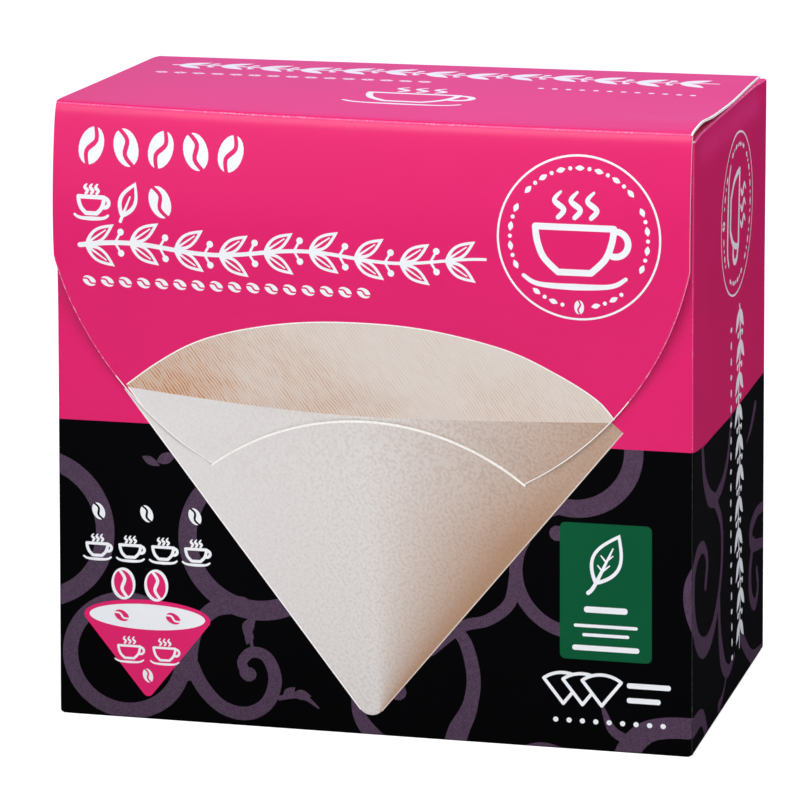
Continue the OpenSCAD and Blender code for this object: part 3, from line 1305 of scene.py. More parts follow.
    def artwork(self, front: Artwork) -> Artwork:
        """The print on the walls.

        Args:
            front: What is printed over the ground of the front panel.

        Returns:
            The artwork, unrolled.
        """
        f = self.form
        art = Artwork()
        self.grounds(art)
        art.add(front)
        self.side_print(art)
        bleed = f.wall_top + self.print_bleed
        for start, end in self.sides:
            art.fill(Ink.WHITE, box((start, bleed), (end, bleed + 60.0)))
        art.fill(Ink.WHITE, box((self.seam + 1.6, 0.0), (self.back + 200.0, 150.0)))
        art.line(Ink.CUT, f.arch_line(-0.3), (0.5,), caps=False)
        # Lighter crease ink along the upright creases and the dust flaps' top creases: a painted highlight,
        # with real worn cracks.
        half = self.crease_sheen_width / 2
        for corner in self.corners:
            art.fill(Ink.CREASE, box((corner - half, 0.7), (corner + half, 145.9)))
        for start, end in self.sides:
            art.fill(Ink.CREASE, box((start + 1.3, f.wall_top - 0.3), (end - 1.3, f.wall_top + 0.1)))
        return art

    def build(self, finishes: Finishes, front: Artwork) -> bpy.types.Object:
        """Makes the shell, which stands for the carton's body.

        Args:
            finishes: The material of each ink.
            front: What is printed over the ground of the front panel.

        Returns:
            The new object.
        """
        sheet = PaperSheet(
            name="carton_shell",
            outline=self.outline(),
            place=self.place,
            artwork=self.artwork(front),
            ground=Ink.PINK,
            thickness=self.form.board,
            cuts=[self.slit()],
            folds=self.folds(),
            bends=self.bends(),
        )
        piece = sheet.build(finishes)
        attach(piece, "carton")
        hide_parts("carton_body")
        return piece


@dataclass
class Lid:
    """The lid: from the back crease to the front one, sprung up a little at the front."""

    form: CartonForm
    front_inset: float = 0.3  # how far it stands in from the right side at its front
    back_inset: float = 1.6  # how far it stands in from the right side at its hinge
    left_inset: float = 0.9  # how far it stands in from the left side at its front
    left_reach: float = 1.7  # how far it reaches past the left side at its hinge
    front_radius: float = 0.8  # the outer radius of the front crease
    back_radius: float = 0.5  # the outer radius of the back crease
    front_trim: float = 0.06  # how far its board's edge lies in from the front crease
    back_trim: float = 0.02  # how far it lies in from the back one
    left_lift: float = 2.1  # how far the front springs up further at its left end
    right_drop: float = 0.2  # how far it stays lower at its right end
    crest: float = 0.75  # how far its right end waves up near the front
    trough: float = 0.55  # how far its right end waves down in the middle
    belly: float = 0.35  # how far it arches in the middle
    swell: float = 0.28  # how far it rounds up behind the front crease
    cut_width: float = 0.36  # the width of the pale cut edge along its right side

    @property
    def length(self) -> float:
        """From the front crease's outer face to the back panel's."""
        return self.form.depth + self.form.flap_stand

    def crease_height(self, x: float) -> float:
        """The height of the front crease's underside at a distance from the left side."""
        share = x / self.form.width
        return self.form.lid_crease + self.left_lift * (1.0 - share) ** 2.4 - self.right_drop * share

    def place(self, u: float, v: float) -> Solid:
        """Carries a flat point of the lid to its place.

        Args:
            u: From the left side.
            v: From the front crease to the back.

        Returns:
            The point of the outer face.
        """
        f = self.form
        run = min(max(v, 0.0), self.length)
        share = run / self.length
        under = self.crease_height(u) * (1.0 - share) + f.wall_top * share
        near_right = math.exp(-((f.width - u) / 16.0))
        wave = self.crest * bell(13.0, 9.0, run) - self.trough * bell(52.0, 22.0, run)
        belly = self.belly * math.sin(math.pi * share) * math.sin(math.pi * u / f.width)
        swell = self.swell * (1.0 - math.exp(-run / 1.5)) * math.exp(-run / 30.0)
        z = under + f.board + wave * near_right * ease(0.0, 4.0, run) + belly + swell
        z -= rounded_off(self.front_radius, run)
        z -= rounded_off(self.back_radius, self.length - run)
        return f.racked(u, -f.depth / 2 - f.flap_stand + v, z)

    def artwork(self) -> Artwork:
        """Draws the print on the lid.

        Returns:
            The artwork.
        """
        f = self.form
        art = Artwork()
        art.add(Sprig(138.0, 12.5, 13, 1.15, open_leaves=False), (8.0, 75.5))
        art.row(Bean(3.6), (9.0, 60.5), 4.8, 15, 70.0)
        for i in range(12):
            art.disc(Ink.WHITE, (106.0 + 3.4 * i, 57.5), 0.8)
        art.add(CupMark(22.0, 1.7), (79.0, 36.0))
        # A lighter line along the front crease: a painted highlight, with real worn cracks.
        art.fill(Ink.CREASE, box((0.0, 0.05), (f.width, 0.26)))
        front, rear, end = f.width - self.front_inset, f.width - self.back_inset, self.length
        cut = self.cut_width
        art.fill(Ink.CUT, [(front - cut, 0.0), (front, 0.0), (rear, end), (rear - cut, end)])
        return art

    def build(self, finishes: Finishes) -> bpy.types.Object:
        """Makes the lid, which stands for the lid panel.

        Args:
            finishes: The material of each ink.

        Returns:
            The new object.
        """
        f = self.form
        start, end = self.front_trim, self.length - self.back_trim
        front, rear = f.width - self.front_inset, f.width - self.back_inset
        rows = [self.front_radius * (1.0 - math.cos(math.radians(a))) for a in (24, 32, 42, 54, 66, 78, 90)]
        rows += [end - self.back_radius * (1.0 - math.cos(math.radians(a))) for a in range(15, 91, 15)]
        sheet = PaperSheet(
            name="lid",
            outline=[(self.left_inset, start), (front, start), (rear, end), (-self.left_reach, end)],
            place=self.place,
            artwork=self.artwork(),
            ground=Ink.PINK,
            thickness=f.board,
            folds=[((-1.0, v), (f.width + 1.0, v)) for v in rows],
            bends=[
                *grid((1.5, 1.5), (f.width - 2.0, self.length - 1.5), 4.5),
                *grid((f.width - 24.0, 2.0), (f.width - 1.0, self.length - 2.0), 2.2),
            ],
            edge_ink=lambda u, v: Ink.CUT if 0.5 <= v <= self.length - 0.5 else Ink.BARE,
        )
        piece = sheet.build(finishes)
        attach(piece, "lid")
        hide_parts("lid_panel")
        return piece


@dataclass
class FrontFlap:
    """The flap that hangs from the lid, with the tongue that passes behind the panel."""

    form: CartonForm
    lid: Lid
    bow_left: float = 3.2  # how far it bows out at its left edge
    bow_right: float = 2.0  # how far it bows out at its right edge
    bow_end: float = 76.0  # the height where the bow ends
    swell: float = 0.85  # how far it rounds out below the crease
    swell_reach: float = 1.6  # how soon it does
    tongue_depth: float = 0.8  # how far behind the panel's face the tongue's outer face lies
    print_shift: Point = (0.35, -0.15)  # how far its print lies off the panel's
    edge_width: float = 0.24  # the width of the pale line along its round end: the real cut edge over the cone, a painted crease highlight with real cracks elsewhere
    turn_start: float = 0.1  # how far below the crease the board starts to follow the flap's motion
    turn_end: float = 1.6  # how far below it the board follows it fully

    def place(self, u: float, v: float) -> Solid:
        """Carries a flat point of the flap to its place.

        Args:
            u: From the left side.
            v: Up the front.

        Returns:
            The point of the outer face.
        """
        f = self.form
        top = self.lid.crease_height(u)
        z = v + (top - f.lid_crease) * ease(105.0, f.lid_crease, v)
        share = u / f.width
        bow = self.bow_left * (1.0 - share) + self.bow_right * share
        climb = kept((z - self.bow_end) / (top - self.bow_end))
        free = f.flap_stand + bow * math.sin(math.pi * climb**1.4)
        free += self.swell * (1.0 - math.exp(-max(0.0, top - z) / self.swell_reach)) * ease(84.0, 125.0, z)
        past = f.past_arch(u, v)
        tucked = ease(0.2, -3.4, past)
        under = (f.board + 0.1) * ease(0.3, 0.8, f.slit_share(u))
        at_line = f.lip_out * f.slit_share(u) - under - 0.04
        near = at_line + (free - at_line) * ease(0.0, 9.0, past)
        out = near * (1.0 - tucked) - self.tongue_depth * tucked
        out -= rounded_off(self.lid.front_radius, top + f.board - z)
        return f.racked(u, -f.depth / 2 - out, z)

    def outline(self) -> Loop:
        """The flap's flat outline, anticlockwise.

        Returns:
            The loop, from its upper left corner round its end to the upper right one.
        """
        f = self.form
        left, right = self.lid.left_inset, f.width - self.lid.front_inset
        first, last = (math.degrees(math.acos(abs(x - f.width / 2) / f.flap_radius)) for x in (left, right))
        end = arc(f.flap_centre, f.flap_radius, 180 + first, 360 - last, 1.4)
        top = f.lid_crease + 0.02
        return [(left, top), *end, (right, top)]

    def build(self, finishes: Finishes, front: Artwork) -> bpy.types.Object:
        """Makes the flap, which stands for the flap and its tongue.

        Args:
            finishes: The material of each ink.
            front: What is printed over the whole front.

        Returns:
            The new object.
        """
        f = self.form
        art = Artwork()
        art.add(front, self.print_shift)
        radius = f.flap_radius - 0.11
        # Round the end: the real cut edge over the cone, and at each side lighter crease ink, a painted
        # highlight with real worn cracks.
        runs = ((190.0, 217.6, Ink.CREASE), (217.6, 322.4, Ink.CUT), (322.4, 350.0, Ink.CREASE))
        for first, last, ink in runs:
            art.line(ink, arc(f.flap_centre, radius, first, last, 1.4), (self.edge_width,), caps=False)
        drops = [0.05 * i for i in range(1, 7)] + [0.45 * i for i in range(1, 15)]
        sheet = PaperSheet(
            name="front_flap_and_tongue",
            outline=self.outline(),
            place=self.place,
            artwork=art,
            ground=Ink.PINK,
            thickness=f.board,
            folds=[((0.0, f.lid_crease - drop), (f.width, f.lid_crease - drop)) for drop in drops],
            bends=[
                *grid((2.0, 92.0), (f.width - 2.0, f.lid_crease - 1.5), 4.0),
                *grid((22.0, 56.0), (f.width - 22.0, 92.0), 1.9),
            ],
            edge_ink=lambda u, v: Ink.BARE if v > f.lid_crease - 0.3 else Ink.CUT,
        )
        piece = sheet.build(finishes)
        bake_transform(piece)
        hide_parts("front_flap", "tuck_tongue")
        return piece


@dataclass
class FrontPrint:
    """What is printed on the front: the band and its ornament, the pictured cone and small signs."""

    form: CartonForm
    bleed: float = 5.0  # how far the flap's print runs on past its edges

    def lower(self) -> Artwork:
        """Draws the print that the front panel carries.

        Returns:
            The artwork.
        """
        art = Artwork()
        rim = FilterPicture.front_rim
        art.add(FilterPicture(front_rim=((16.8, 82.0), *rim[1:])))
        art.add(ConeBadge(), (21.9, 25.6))
        art.row(Bean(4.4, Ink.WHITE, Ink.BLACK), (10.0, 51.4), 12.0, 3, 24.0)
        art.row(CupMark(5.2, 0.75), (9.6, 42.4), 8.2, 4)
        for x in (16.0, 24.2):
            art.fill(Ink.WHITE, ellipse((x, 33.7), 3.0, 4.0, 30))
            art.add(Bean(6.8, Ink.PINK, Ink.WHITE), (x, 33.7), 10.0)
        art.add(LeafLabel())
        art.add(FilterRow(), (124.2, 15.0))
        for z, end in ((16.6, 149.8), (13.0, 147.4)):
            art.fill(Ink.WHITE, bar(139.4, end, z, 1.3, 0.55))
        for i in range(9):
            art.disc(Ink.WHITE, (122.4 + 3.2 * i, 7.2), 0.65)
        return art

    def whole(self) -> Artwork:
        """Draws the print that the flap carries, laid out over the whole front.

        Returns:
            The artwork.
        """
        art = Artwork()
        low, right = -self.bleed, self.form.width + self.bleed
        art.fill(Ink.BLACK, box((low, low), (right, self.form.band_top)))
        art.add(FilterPicture())
        art.row(Bean(8.8), (10.0, 139.6), 8.6, 5, -18.0, 18.0)
        art.add(CupMark(6.4, 0.95), (10.2, 127.0))
        art.fill(Ink.WHITE, blade((17.6, 123.8), (21.2, 132.0), 2.3))
        art.fill(Ink.PINK, blade((18.1, 125.0), (20.8, 130.9), 1.4))
        art.line(Ink.WHITE, [(17.4, 123.0), (19.8, 128.6)], (0.8, 0.4))
        art.add(Bean(7.6), (27.2, 127.8), 24.0)
        art.add(Sprig(99.0, 10.2, 9, 0.95), (7.2, 117.2))
        art.row(Bean(3.4), (9.2, 108.8), 4.5, 16, 66.0)
        art.add(RoundEmblem(), (128.3, 124.0))
        return art


@dataclass
class FilterStack:
    """The stack of flat paper cones: two plies each, joined at a fold and at a crimped seam."""

    low: Vector  # the lowest corner of the space that the stack takes, in millimetres
    high: Vector
    count: int = 100  # how many filters
    slant: float = 106.0  # the length from tip to rim
    half_angle: float = 44.6  # half the angle at the tip, in degrees
    ply: float = 0.17  # the thickness of one ply
    gap: float = 0.05  # half the room between a filter's two plies
    steps: int = 26  # how many lengths the rim is drawn in
    seed: int = 7  # the seed of their small differences

    @cached_property
    def rings(self) -> tuple[float, ...]:
        """The radii of a ply's rings of points, from its tip to its rim."""
        return 1.9, self.slant * 0.55, self.slant * 0.86, self.slant * 0.96, self.slant

    def ply_points(self, y: float, flare: float, turn: float, drop: float) -> list[Solid]:
        """The points of one face of a ply, ring by ring from the tip.

        Args:
            y: Where the face lies.
            flare: How far its rim stands out, to the front if below 0.
            turn: How far the filter is turned in its own plane, in degrees.
            drop: How far it sits lower than the tallest.

        Returns:
            The points.
        """
        tip = self.high.z - self.slant
        points: list[Solid] = []
        for radius in self.rings:
            for i in range(self.steps + 1):
                share = 2.0 * i / self.steps - 1.0
                angle = math.radians(share * self.half_angle + turn)
                open_by = flare * (radius / self.slant) ** 5 * (1.0 - share**4)
                x, z = radius * math.sin(angle), tip - drop + radius * math.cos(angle)
                points.append((x, y + open_by, max(z, self.low.z)))
        return points

    def ply_faces(self, first: int, side: int) -> list[tuple[int, ...]]:
        """The faces of one ply: its two sides and the edge round them.

        Args:
            first: The number of its first point.
            side: -1 for a filter's front ply, 1 for its back one.

        Returns:
            The faces.
        """
        wide, last = self.steps + 1, len(self.rings) - 1
        back = first + wide * (last + 1)
        faces: list[tuple[int, ...]] = []
        for start, flip in ((first, side > 0), (back, side < 0)):
            for r in range(last):
                for c in range(self.steps):
                    p = start + r * wide + c
                    quad = (p, p + 1, p + wide + 1, p + wide)
                    faces.append(quad[::-1] if flip else quad)
        path = [*range(self.steps), *(r * wide + self.steps for r in range(last))]
        path += [last * wide + c for c in range(self.steps, 0, -1)]
        path += [r * wide for r in range(last, 0, -1)]
        for a, b in pairs(path):
            quad = (first + a, back + a, back + b, first + b)
            faces.append(quad[::-1] if side > 0 else quad)
        return faces

    def build(self, paper: bpy.types.Material) -> bpy.types.Object:
        """Makes the stack, which stands for the filter stack.

        Args:
            paper: The filters' material.

        Returns:
            The new object.
        """
        draw = random.Random(self.seed)
        pitch = (self.high.y - self.low.y) / self.count
        verts: list[Solid] = []
        faces: list[tuple[int, ...]] = []
        for i in range(self.count):
            y = self.low.y + pitch * (i + 0.5) + draw.uniform(-0.05, 0.05)
            turn = draw.uniform(-0.25, 0.25)
            drop = abs(draw.gauss(0.0, 0.35))
            lean = draw.uniform(-0.06, 0.06)
            for side in (-1, 1):
                near = y + side * self.gap
                flare = side * draw.uniform(0.06, 0.16) + lean
                faces += self.ply_faces(len(verts), side)
                verts += self.ply_points(near, flare, turn, drop)
                verts += self.ply_points(near + side * self.ply, flare, turn, drop)
        mesh = bpy.data.meshes.new("filter_stack_of_plies")
        mesh.from_pydata([(x * MM, y * MM, z * MM) for x, y, z in verts], [], faces)
        mesh.materials.append(paper)
        mesh.validate()
        mesh.update()
        piece = shown("filters", mesh)
        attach(piece, "carton")
        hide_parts("filter_stack")
        return piece


class Nodes:
    """A material's node tree round one principled shader, with short calls for its nodes."""

    def __init__(self, name: str, roughness: float, specular: float) -> None:
        """Starts the material.

        Args:
            name: Its name.
            roughness: How dull its surface is.
            specular: How strongly it reflects.
        """
        self.material = bpy.data.materials.new(name)
        self.material.use_nodes = True
        self.tree = self.material.node_tree
        self.shader = next(n for n in self.tree.nodes if n.type == "BSDF_PRINCIPLED")
        self.shader.inputs["Roughness"].default_value = roughness
        self.shader.inputs["Specular IOR Level"].default_value = specular
        self.place = self.add("ShaderNodeTexCoord").outputs["Object"]

    def put(self, socket: Socket, value: Any) -> None:
        """Fills an input of a node.

        Args:
            socket: The input.
            value: A plain value for it, or an output to link.
        """
        if isinstance(value, Socket):
            self.tree.links.new(value, socket)
        else:
            socket.default_value = value

    def add(self, kind: str, inputs: dict[str | int, Any] | None = None, **settings: str) -> bpy.types.Node:
        """Adds a node.

        Args:
            kind: Blender's name for it.
            inputs: Its inputs by name or number: a value, or an output to link.
            settings: Its properties.

        Returns:
            The node.
        """
        node = self.tree.nodes.new(kind)
        for key, value in settings.items():
            setattr(node, key, value)
        for key, value in (inputs or {}).items():
            self.put(node.inputs[key], value)
        return node

    def feed(self, socket: str, source: Socket) -> None:
        """Links an output to one of the shader's inputs."""
        self.put(self.shader.inputs[socket], source)

    def stretched(self, turn: float = 0.0, scale: Solid = (1.0, 1.0, 1.0)) -> Socket:
        """The object's own coordinates, turned about Y by some degrees and then scaled."""
        turned = self.add("ShaderNodeMapping", {0: self.place, "Rotation": (0.0, math.radians(turn), 0.0)})
        return self.add("ShaderNodeMapping", {"Vector": turned.outputs[0], "Scale": scale}).outputs[0]

    def noise(
        self, scale: float, detail: float = 3.0, where: Socket | None = None, roughness: float = 0.5
    ) -> Socket:
        """A cloudy pattern from 0 to 1, with scale features in a metre and detail finer layers."""
        inputs = {"Vector": where or self.place, "Scale": scale, "Detail": detail, "Roughness": roughness}
        return self.add("ShaderNodeTexNoise", inputs).outputs["Fac"]

    def math(self, operation: str, *values: Value) -> Socket:
        """The result of a sum, whose operation has Blender's name."""
        return self.add("ShaderNodeMath", dict(enumerate(values)), operation=operation).outputs[0]

    def times(self, *values: Value) -> Socket:
        """The product of two or more values."""
        return reduce(lambda a, b: self.math("MULTIPLY", a, b), values)

    def between(
        self, source: Socket, low: float, high: float, to_low: float = 0.0, to_high: float = 1.0
    ) -> Socket:
        """A pattern with one range mapped to another and cut off at its ends. Low may pass high."""
        inputs = {"Value": source, "From Min": low, "From Max": high, "To Min": to_low, "To Max": to_high}
        return self.add("ShaderNodeMapRange", inputs).outputs["Result"]

    def mix(self, share: Value, a: Tint, b: Tint, blend: str = "MIX") -> Socket:
        """A mix of two colours.

        Args:
            share: How much of b, a value or an output.
            a: The first colour.
            b: The second one.
            blend: How they are mixed.

        Returns:
            The colour.
        """
        node = self.add("ShaderNodeMix", None, data_type="RGBA", blend_type=blend)
        for key, value in ((0, share), (6, a), (7, b)):
            self.put(node.inputs[key], (*value, 1.0) if isinstance(value, tuple) else value)
        return node.outputs[2]

    def dimmed(self, colour: Tint, factor: Socket) -> Socket:
        """A colour whose three channels are multiplied by one factor, which may pass 1."""
        grey = self.add("ShaderNodeCombineColor", dict.fromkeys(("Red", "Green", "Blue"), factor))
        return self.mix(1.0, colour, grey.outputs["Color"], "MULTIPLY")

    def along(self, axis: str, where: Socket | None = None) -> Socket:
        """A coordinate along X, Y or Z, in metres: the object's own, or that of a turned one."""
        return self.add("ShaderNodeSeparateXYZ", {"Vector": where or self.place}).outputs[axis]

    def relief(self, height: Socket, depth: float) -> None:
        """Gives the surface the relief of a pattern, whose full range has a depth in metres."""
        bump = self.add("ShaderNodeBump", {"Height": height, "Distance": depth, "Strength": 1.0})
        self.feed("Normal", bump.outputs["Normal"])


@dataclass(frozen=True, kw_only=True)
class Finish:
    """A surface finish, whose own look each kind paints."""

    roughness: float = 0.45  # how dull it is
    specular: float = 0.2  # how strongly it reflects

    def make(self, name: str) -> bpy.types.Material:
        """Makes the finish's material.

        Args:
            name: Its name.

        Returns:
            The material.
        """
        n = Nodes(name, self.roughness, self.specular)
        self.paint(n)
        return n.material

    def paint(self, n: Nodes) -> None:
        """Adds the finish's own nodes to a new material."""
        raise NotImplementedError


@dataclass(frozen=True)
class VarnishedInk(Finish):
    """Ink under a thin satin varnish on paperboard."""

    colour: Colour
    shade: Colour  # the same colour a little darker, for its unevenness
    unevenness: float = 0.000005  # the depth of the board's fine relief, in metres

    def paint(self, n: Nodes) -> None:
        """Paints wide soft clouds and a fine grain of the two colours.

        Args:
            n: The material's nodes.
        """
        cloud = n.mix(n.between(n.noise(38.0, 2.0), 0.3, 0.7), self.shade, self.colour)
        grain = n.mix(n.between(n.noise(2600.0, 2.0), 0.35, 0.65), self.shade, self.colour)
        n.feed("Base Color", n.mix(0.1, cloud, grain))
        n.relief(n.noise(1500.0, 2.0), self.unevenness)


@dataclass(frozen=True)
class ScreenedInk(Finish):
    """An ink printed as fine dots of two colours, which shows a soft purple grain."""

    left: Colour  # its colour at the carton's left
    right: Colour  # its colour at the carton's right
    reach: float = 0.078  # how far from the middle they lie, in metres

    def paint(self, n: Nodes) -> None:
        """Paints the colour across the carton, with its dots.

        Args:
            n: The material's nodes.
        """
        across = n.mix(n.between(n.along("X"), -self.reach, self.reach), self.left, self.right)
        dots = n.between(n.noise(3600.0, 1.0), 0.36, 0.64, 0.74, 1.24)
        n.feed("Base Color", n.dimmed(across, dots))
        n.relief(n.noise(900.0), 0.00001)


@dataclass(frozen=True)
class CrepeInside(Finish):
    """The pictured inside of the paper cone: fine slanting ridges that fade to the right."""

    pale: Colour  # the paper's colour between the ridges at the left
    far: Colour  # its colour at the right
    groove: Colour
    pitch: float = 0.0007  # the distance between the ridges, in metres
    slant: float = 35.0  # how far the ridges' cross direction is turned up from level, in degrees
    wander: float = 6.0  # how far the ridges stray from straight lines, in radians of their wave
    low: float = 0.080  # the height where the grooves show most, in metres
    high: float = 0.098  # the height where they fade

    def paint(self, n: Nodes) -> None:
        """Paints the broken ridges, strongest in warm patches at the lower left.

        Args:
            n: The material's nodes.
        """
        across = n.between(n.along("X"), -0.06, 0.058)
        phase = n.times(n.along("X", n.stretched(self.slant)), math.tau / self.pitch)
        stray = n.between(n.noise(220.0), 0.0, 1.0, -self.wander, self.wander)
        wave = n.between(n.math("SINE", n.math("ADD", phase, stray)), -0.35, 0.7)
        broken = n.noise(900.0, 3.0, n.stretched(self.slant, (1.0, 1.0, 0.35)))
        lines = n.times(wave, n.between(broken, 0.34, 0.6, 0.3, 1.0))
        patch = n.between(n.noise(58.0), 0.38, 0.62, 0.45, 1.0)
        height = n.between(n.along("Z"), self.low, self.high, 1.0, 0.4)
        strength = n.times(patch, height, n.between(across, 0.0, 0.6, 1.4, 0.25))
        warm = n.mix(n.times(strength, 0.42), n.mix(across, self.pale, self.far), self.groove)
        n.feed("Base Color", n.mix(n.times(lines, n.math("POWER", strength, 0.7)), warm, self.groove))
        n.relief(n.noise(900.0), 0.00001)


@dataclass(frozen=True)
class CrepeOutside(Finish):
    """The pictured outside of the paper cone: a pebbled ply that turns tan at its right edge."""

    pale: Colour  # its colour at the left
    middle: Colour  # its colour in the middle
    edge: Colour  # its colour along the right edge
    pit: Colour  # the colour of the pits between the pebbles
    tip: Point = (0.0018, 0.005)  # the cone's tip as X and Z, in metres
    corner: Point = (0.0609, 0.0776)  # the upper end of its right edge as X and Z, in metres

    def paint(self, n: Nodes) -> None:
        """Paints the warm strip, which widens from the tip, and the pebbles, deeper to the right.

        Args:
            n: The material's nodes.
        """
        x, z = n.along("X"), n.along("Z")
        slope = (self.corner[0] - self.tip[0]) / (self.corner[1] - self.tip[1])
        border = n.math("MULTIPLY_ADD", z, slope, self.tip[0] - self.tip[1] * slope)
        inward = n.math("SUBTRACT", border, x)
        spread = n.math("DIVIDE", inward, n.math("SUBTRACT", z, self.tip[1]))
        warm = n.times(n.between(spread, 0.85, 0.05), n.between(z, 0.05, 0.066, 1.0, 0.82))
        across = n.between(x, -0.056, 0.058)
        ground = n.mix(n.between(across, 0.0, 0.52), self.pale, self.middle)
        ground = n.mix(warm, ground, self.edge)
        pebbles = n.noise(1500.0, 2.0, n.stretched(32.0, (1.0, 1.0, 0.8)))
        depth = n.between(across, 0.15, 0.9, 0.2, 1.0)
        shade = n.times(n.between(pebbles, 0.56, 0.36, 0.0, 0.34), depth)
        n.feed("Base Color", n.mix(shade, ground, self.pit))
        n.relief(n.times(pebbles, depth), 0.00016)


@dataclass(frozen=True)
class WornCreaseAndSheen(Finish):
    """Lighter ink along a crease, a painted highlight, where the bend has also opened it in fine pale cracks.
    """

    upper: Colour  # the lighter pink over the pink ground: a painted highlight
    lower: Colour  # the lighter greenish grey over the black band: a painted highlight
    crack: Colour  # the colour that shows in the cracks
    band_top: float  # the height of the black band, in metres
    blur: float = 0.0001  # half the height over which one colour turns to the other, in metres

    def paint(self, n: Nodes) -> None:
        """Paints the lighter ink, a painted highlight, with its real cracks, which come and go and are faint
        over the black.

        Args:
            n: The material's nodes.
        """
        z, low, high = n.along("Z"), self.band_top - self.blur, self.band_top + self.blur
        broken = n.between(n.noise(1500.0), 0.5, 0.6)
        stretch = n.between(n.noise(60.0, 2.0), 0.42, 0.62, 0.05, 0.8)
        share = n.times(broken, stretch, n.between(z, low, high, 0.08, 0.6))
        ink = n.mix(n.between(z, low, high), self.lower, self.upper)
        n.feed("Base Color", n.mix(share, ink, self.crack))


@dataclass(frozen=True)
class BareBoard(Finish):
    """Unprinted board: pale pulp with fine fibres."""

    colour: Colour
    fibre: Colour
    grain: float = 900.0  # how many grains fit in a metre, about

    def paint(self, n: Nodes) -> None:
        """Paints the fibres, on faint clouds of their colour.

        Args:
            n: The material's nodes.
        """
        fibres = n.noise(self.grain, 4.0, n.stretched(20.0, (1.0, 1.0, 0.35)), 0.65)
        base = n.mix(n.between(fibres, 0.46, 0.66), self.colour, self.fibre)
        cloud = n.between(n.noise(70.0), 0.35, 0.75, 0.0, 0.22)
        n.feed("Base Color", n.mix(cloud, base, self.fibre))
        n.relief(fibres, 0.00003)


@dataclass(frozen=True)
class CrepedPaper(Finish):
    """Unbleached filter paper with its crepe."""

    colour: Colour
    shade: Colour  # the colour in its folds
    sheets: float = 1330.0  # how many changes of tone from sheet to sheet fit in a metre of the stack, about

    def paint(self, n: Nodes) -> None:
        """Paints the pulp, with a tone for each sheet, and presses in the crepe.

        Args:
            n: The material's nodes.
        """
        pulp = n.noise(240.0, 4.0, roughness=0.6)
        base = n.mix(n.between(pulp, 0.32, 0.7), self.shade, self.colour)
        sheets = n.noise(1.0, 0.0, n.stretched(scale=(1.0, self.sheets, 1.0)))
        n.feed("Base Color", n.dimmed(base, n.between(sheets, 0.3, 0.7, 0.86, 1.08)))
        n.relief(n.noise(1.0, 3.0, n.stretched(scale=(260.0, 260.0, 900.0))), 0.00009)


@dataclass(frozen=True)
class StudioFloor(Finish):
    """A plain white floor that keeps a soft shadow and stays white to the camera."""

    colour: Colour = (0.82, 0.82, 0.82)
    mirrored: Colour = (0.02, 0.02, 0.02)  # its colour in the varnish's reflections
    lift: float = 0.7  # how much plain white the camera sees in it

    def paint(self, n: Nodes) -> None:
        """Paints the floor, and adds the white that only the camera sees.

        Args:
            n: The material's nodes.
        """
        rays = n.add("ShaderNodeLightPath").outputs
        n.feed("Base Color", n.mix(rays["Is Glossy Ray"], self.colour, self.mirrored))
        strength = n.times(rays["Is Camera Ray"], self.lift)
        glow = n.add("ShaderNodeEmission", {"Color": PURE_WHITE, "Strength": strength}).outputs[0]
        mixed = n.add("ShaderNodeAddShader", {0: n.shader.outputs[0], 1: glow}).outputs[0]
        output = next(node for node in n.tree.nodes if node.type == "OUTPUT_MATERIAL")
        n.put(output.inputs["Surface"], mixed)


def make_finishes(form: CartonForm) -> Finishes:
    """Makes the material of each ink.

    Args:
        form: The carton's shared sizes.

    Returns:
        The materials by ink.
    """
    inside = (srgb(220, 214, 206), srgb(218, 212, 204), srgb(186, 122, 52))
    outside = (srgb(221, 219, 217), srgb(219, 216, 212), srgb(174, 139, 112), srgb(160, 120, 90))
    # The crease colours over pink and over black are lighter than those inks, a painted highlight; the third
    # is the real cracks.
    crease = (srgb(232, 70, 136), srgb(34, 38, 36), srgb(238, 216, 222))
    recipes = {
        Ink.PINK: VarnishedInk(srgb(225, 17, 106), srgb(221, 15, 103), roughness=0.34, specular=0.38),
        Ink.BLACK: VarnishedInk(srgb(4, 4, 6), srgb(3, 3, 5), roughness=0.36, specular=0.1),
        Ink.SCROLL: ScreenedInk(srgb(77, 59, 80), srgb(80, 59, 82), roughness=0.4),
        Ink.WHITE: VarnishedInk(srgb(238, 242, 244), srgb(232, 237, 240), specular=0.3),
        Ink.GREEN: VarnishedInk(srgb(0, 89, 54), srgb(0, 84, 51), roughness=0.36, specular=0.14),
        Ink.PLY_INSIDE: CrepeInside(*inside),
        Ink.PLY_OUTSIDE: CrepeOutside(*outside),
        Ink.CREASE: WornCreaseAndSheen(*crease, form.band_top * MM, roughness=0.4, specular=0.4),
        Ink.BARE: BareBoard(srgb(226, 222, 213), srgb(206, 199, 187), roughness=0.85),
        Ink.CUT: BareBoard(srgb(249, 248, 245), srgb(238, 235, 228), 1500.0, roughness=0.8),
    }
    return {ink: recipe.make(ink.value) for ink, recipe in recipes.items()}


@dataclass(frozen=True)
class Lamp:
    """A square soft lamp that faces the carton."""

    name: str
    at: Solid  # where it hangs, in metres
    size: float  # the length of its side, in metres
    power: float  # its power, in watts
    colour: Colour = (1.0, 1.0, 1.0)

    def hang(self, aim: Solid) -> None:
        """Adds the lamp to the scene.

        Args:
            aim: The point that it faces.
        """
        data = bpy.data.lights.new(self.name, "AREA")
        data.color = self.colour
        data.shape, data.size, data.energy = "SQUARE", self.size, self.power
        lamp = shown(self.name, data)
        lamp.location = self.at
        lamp.rotation_euler = (Vector(aim) - Vector(self.at)).to_track_quat("-Z", "Y").to_euler()


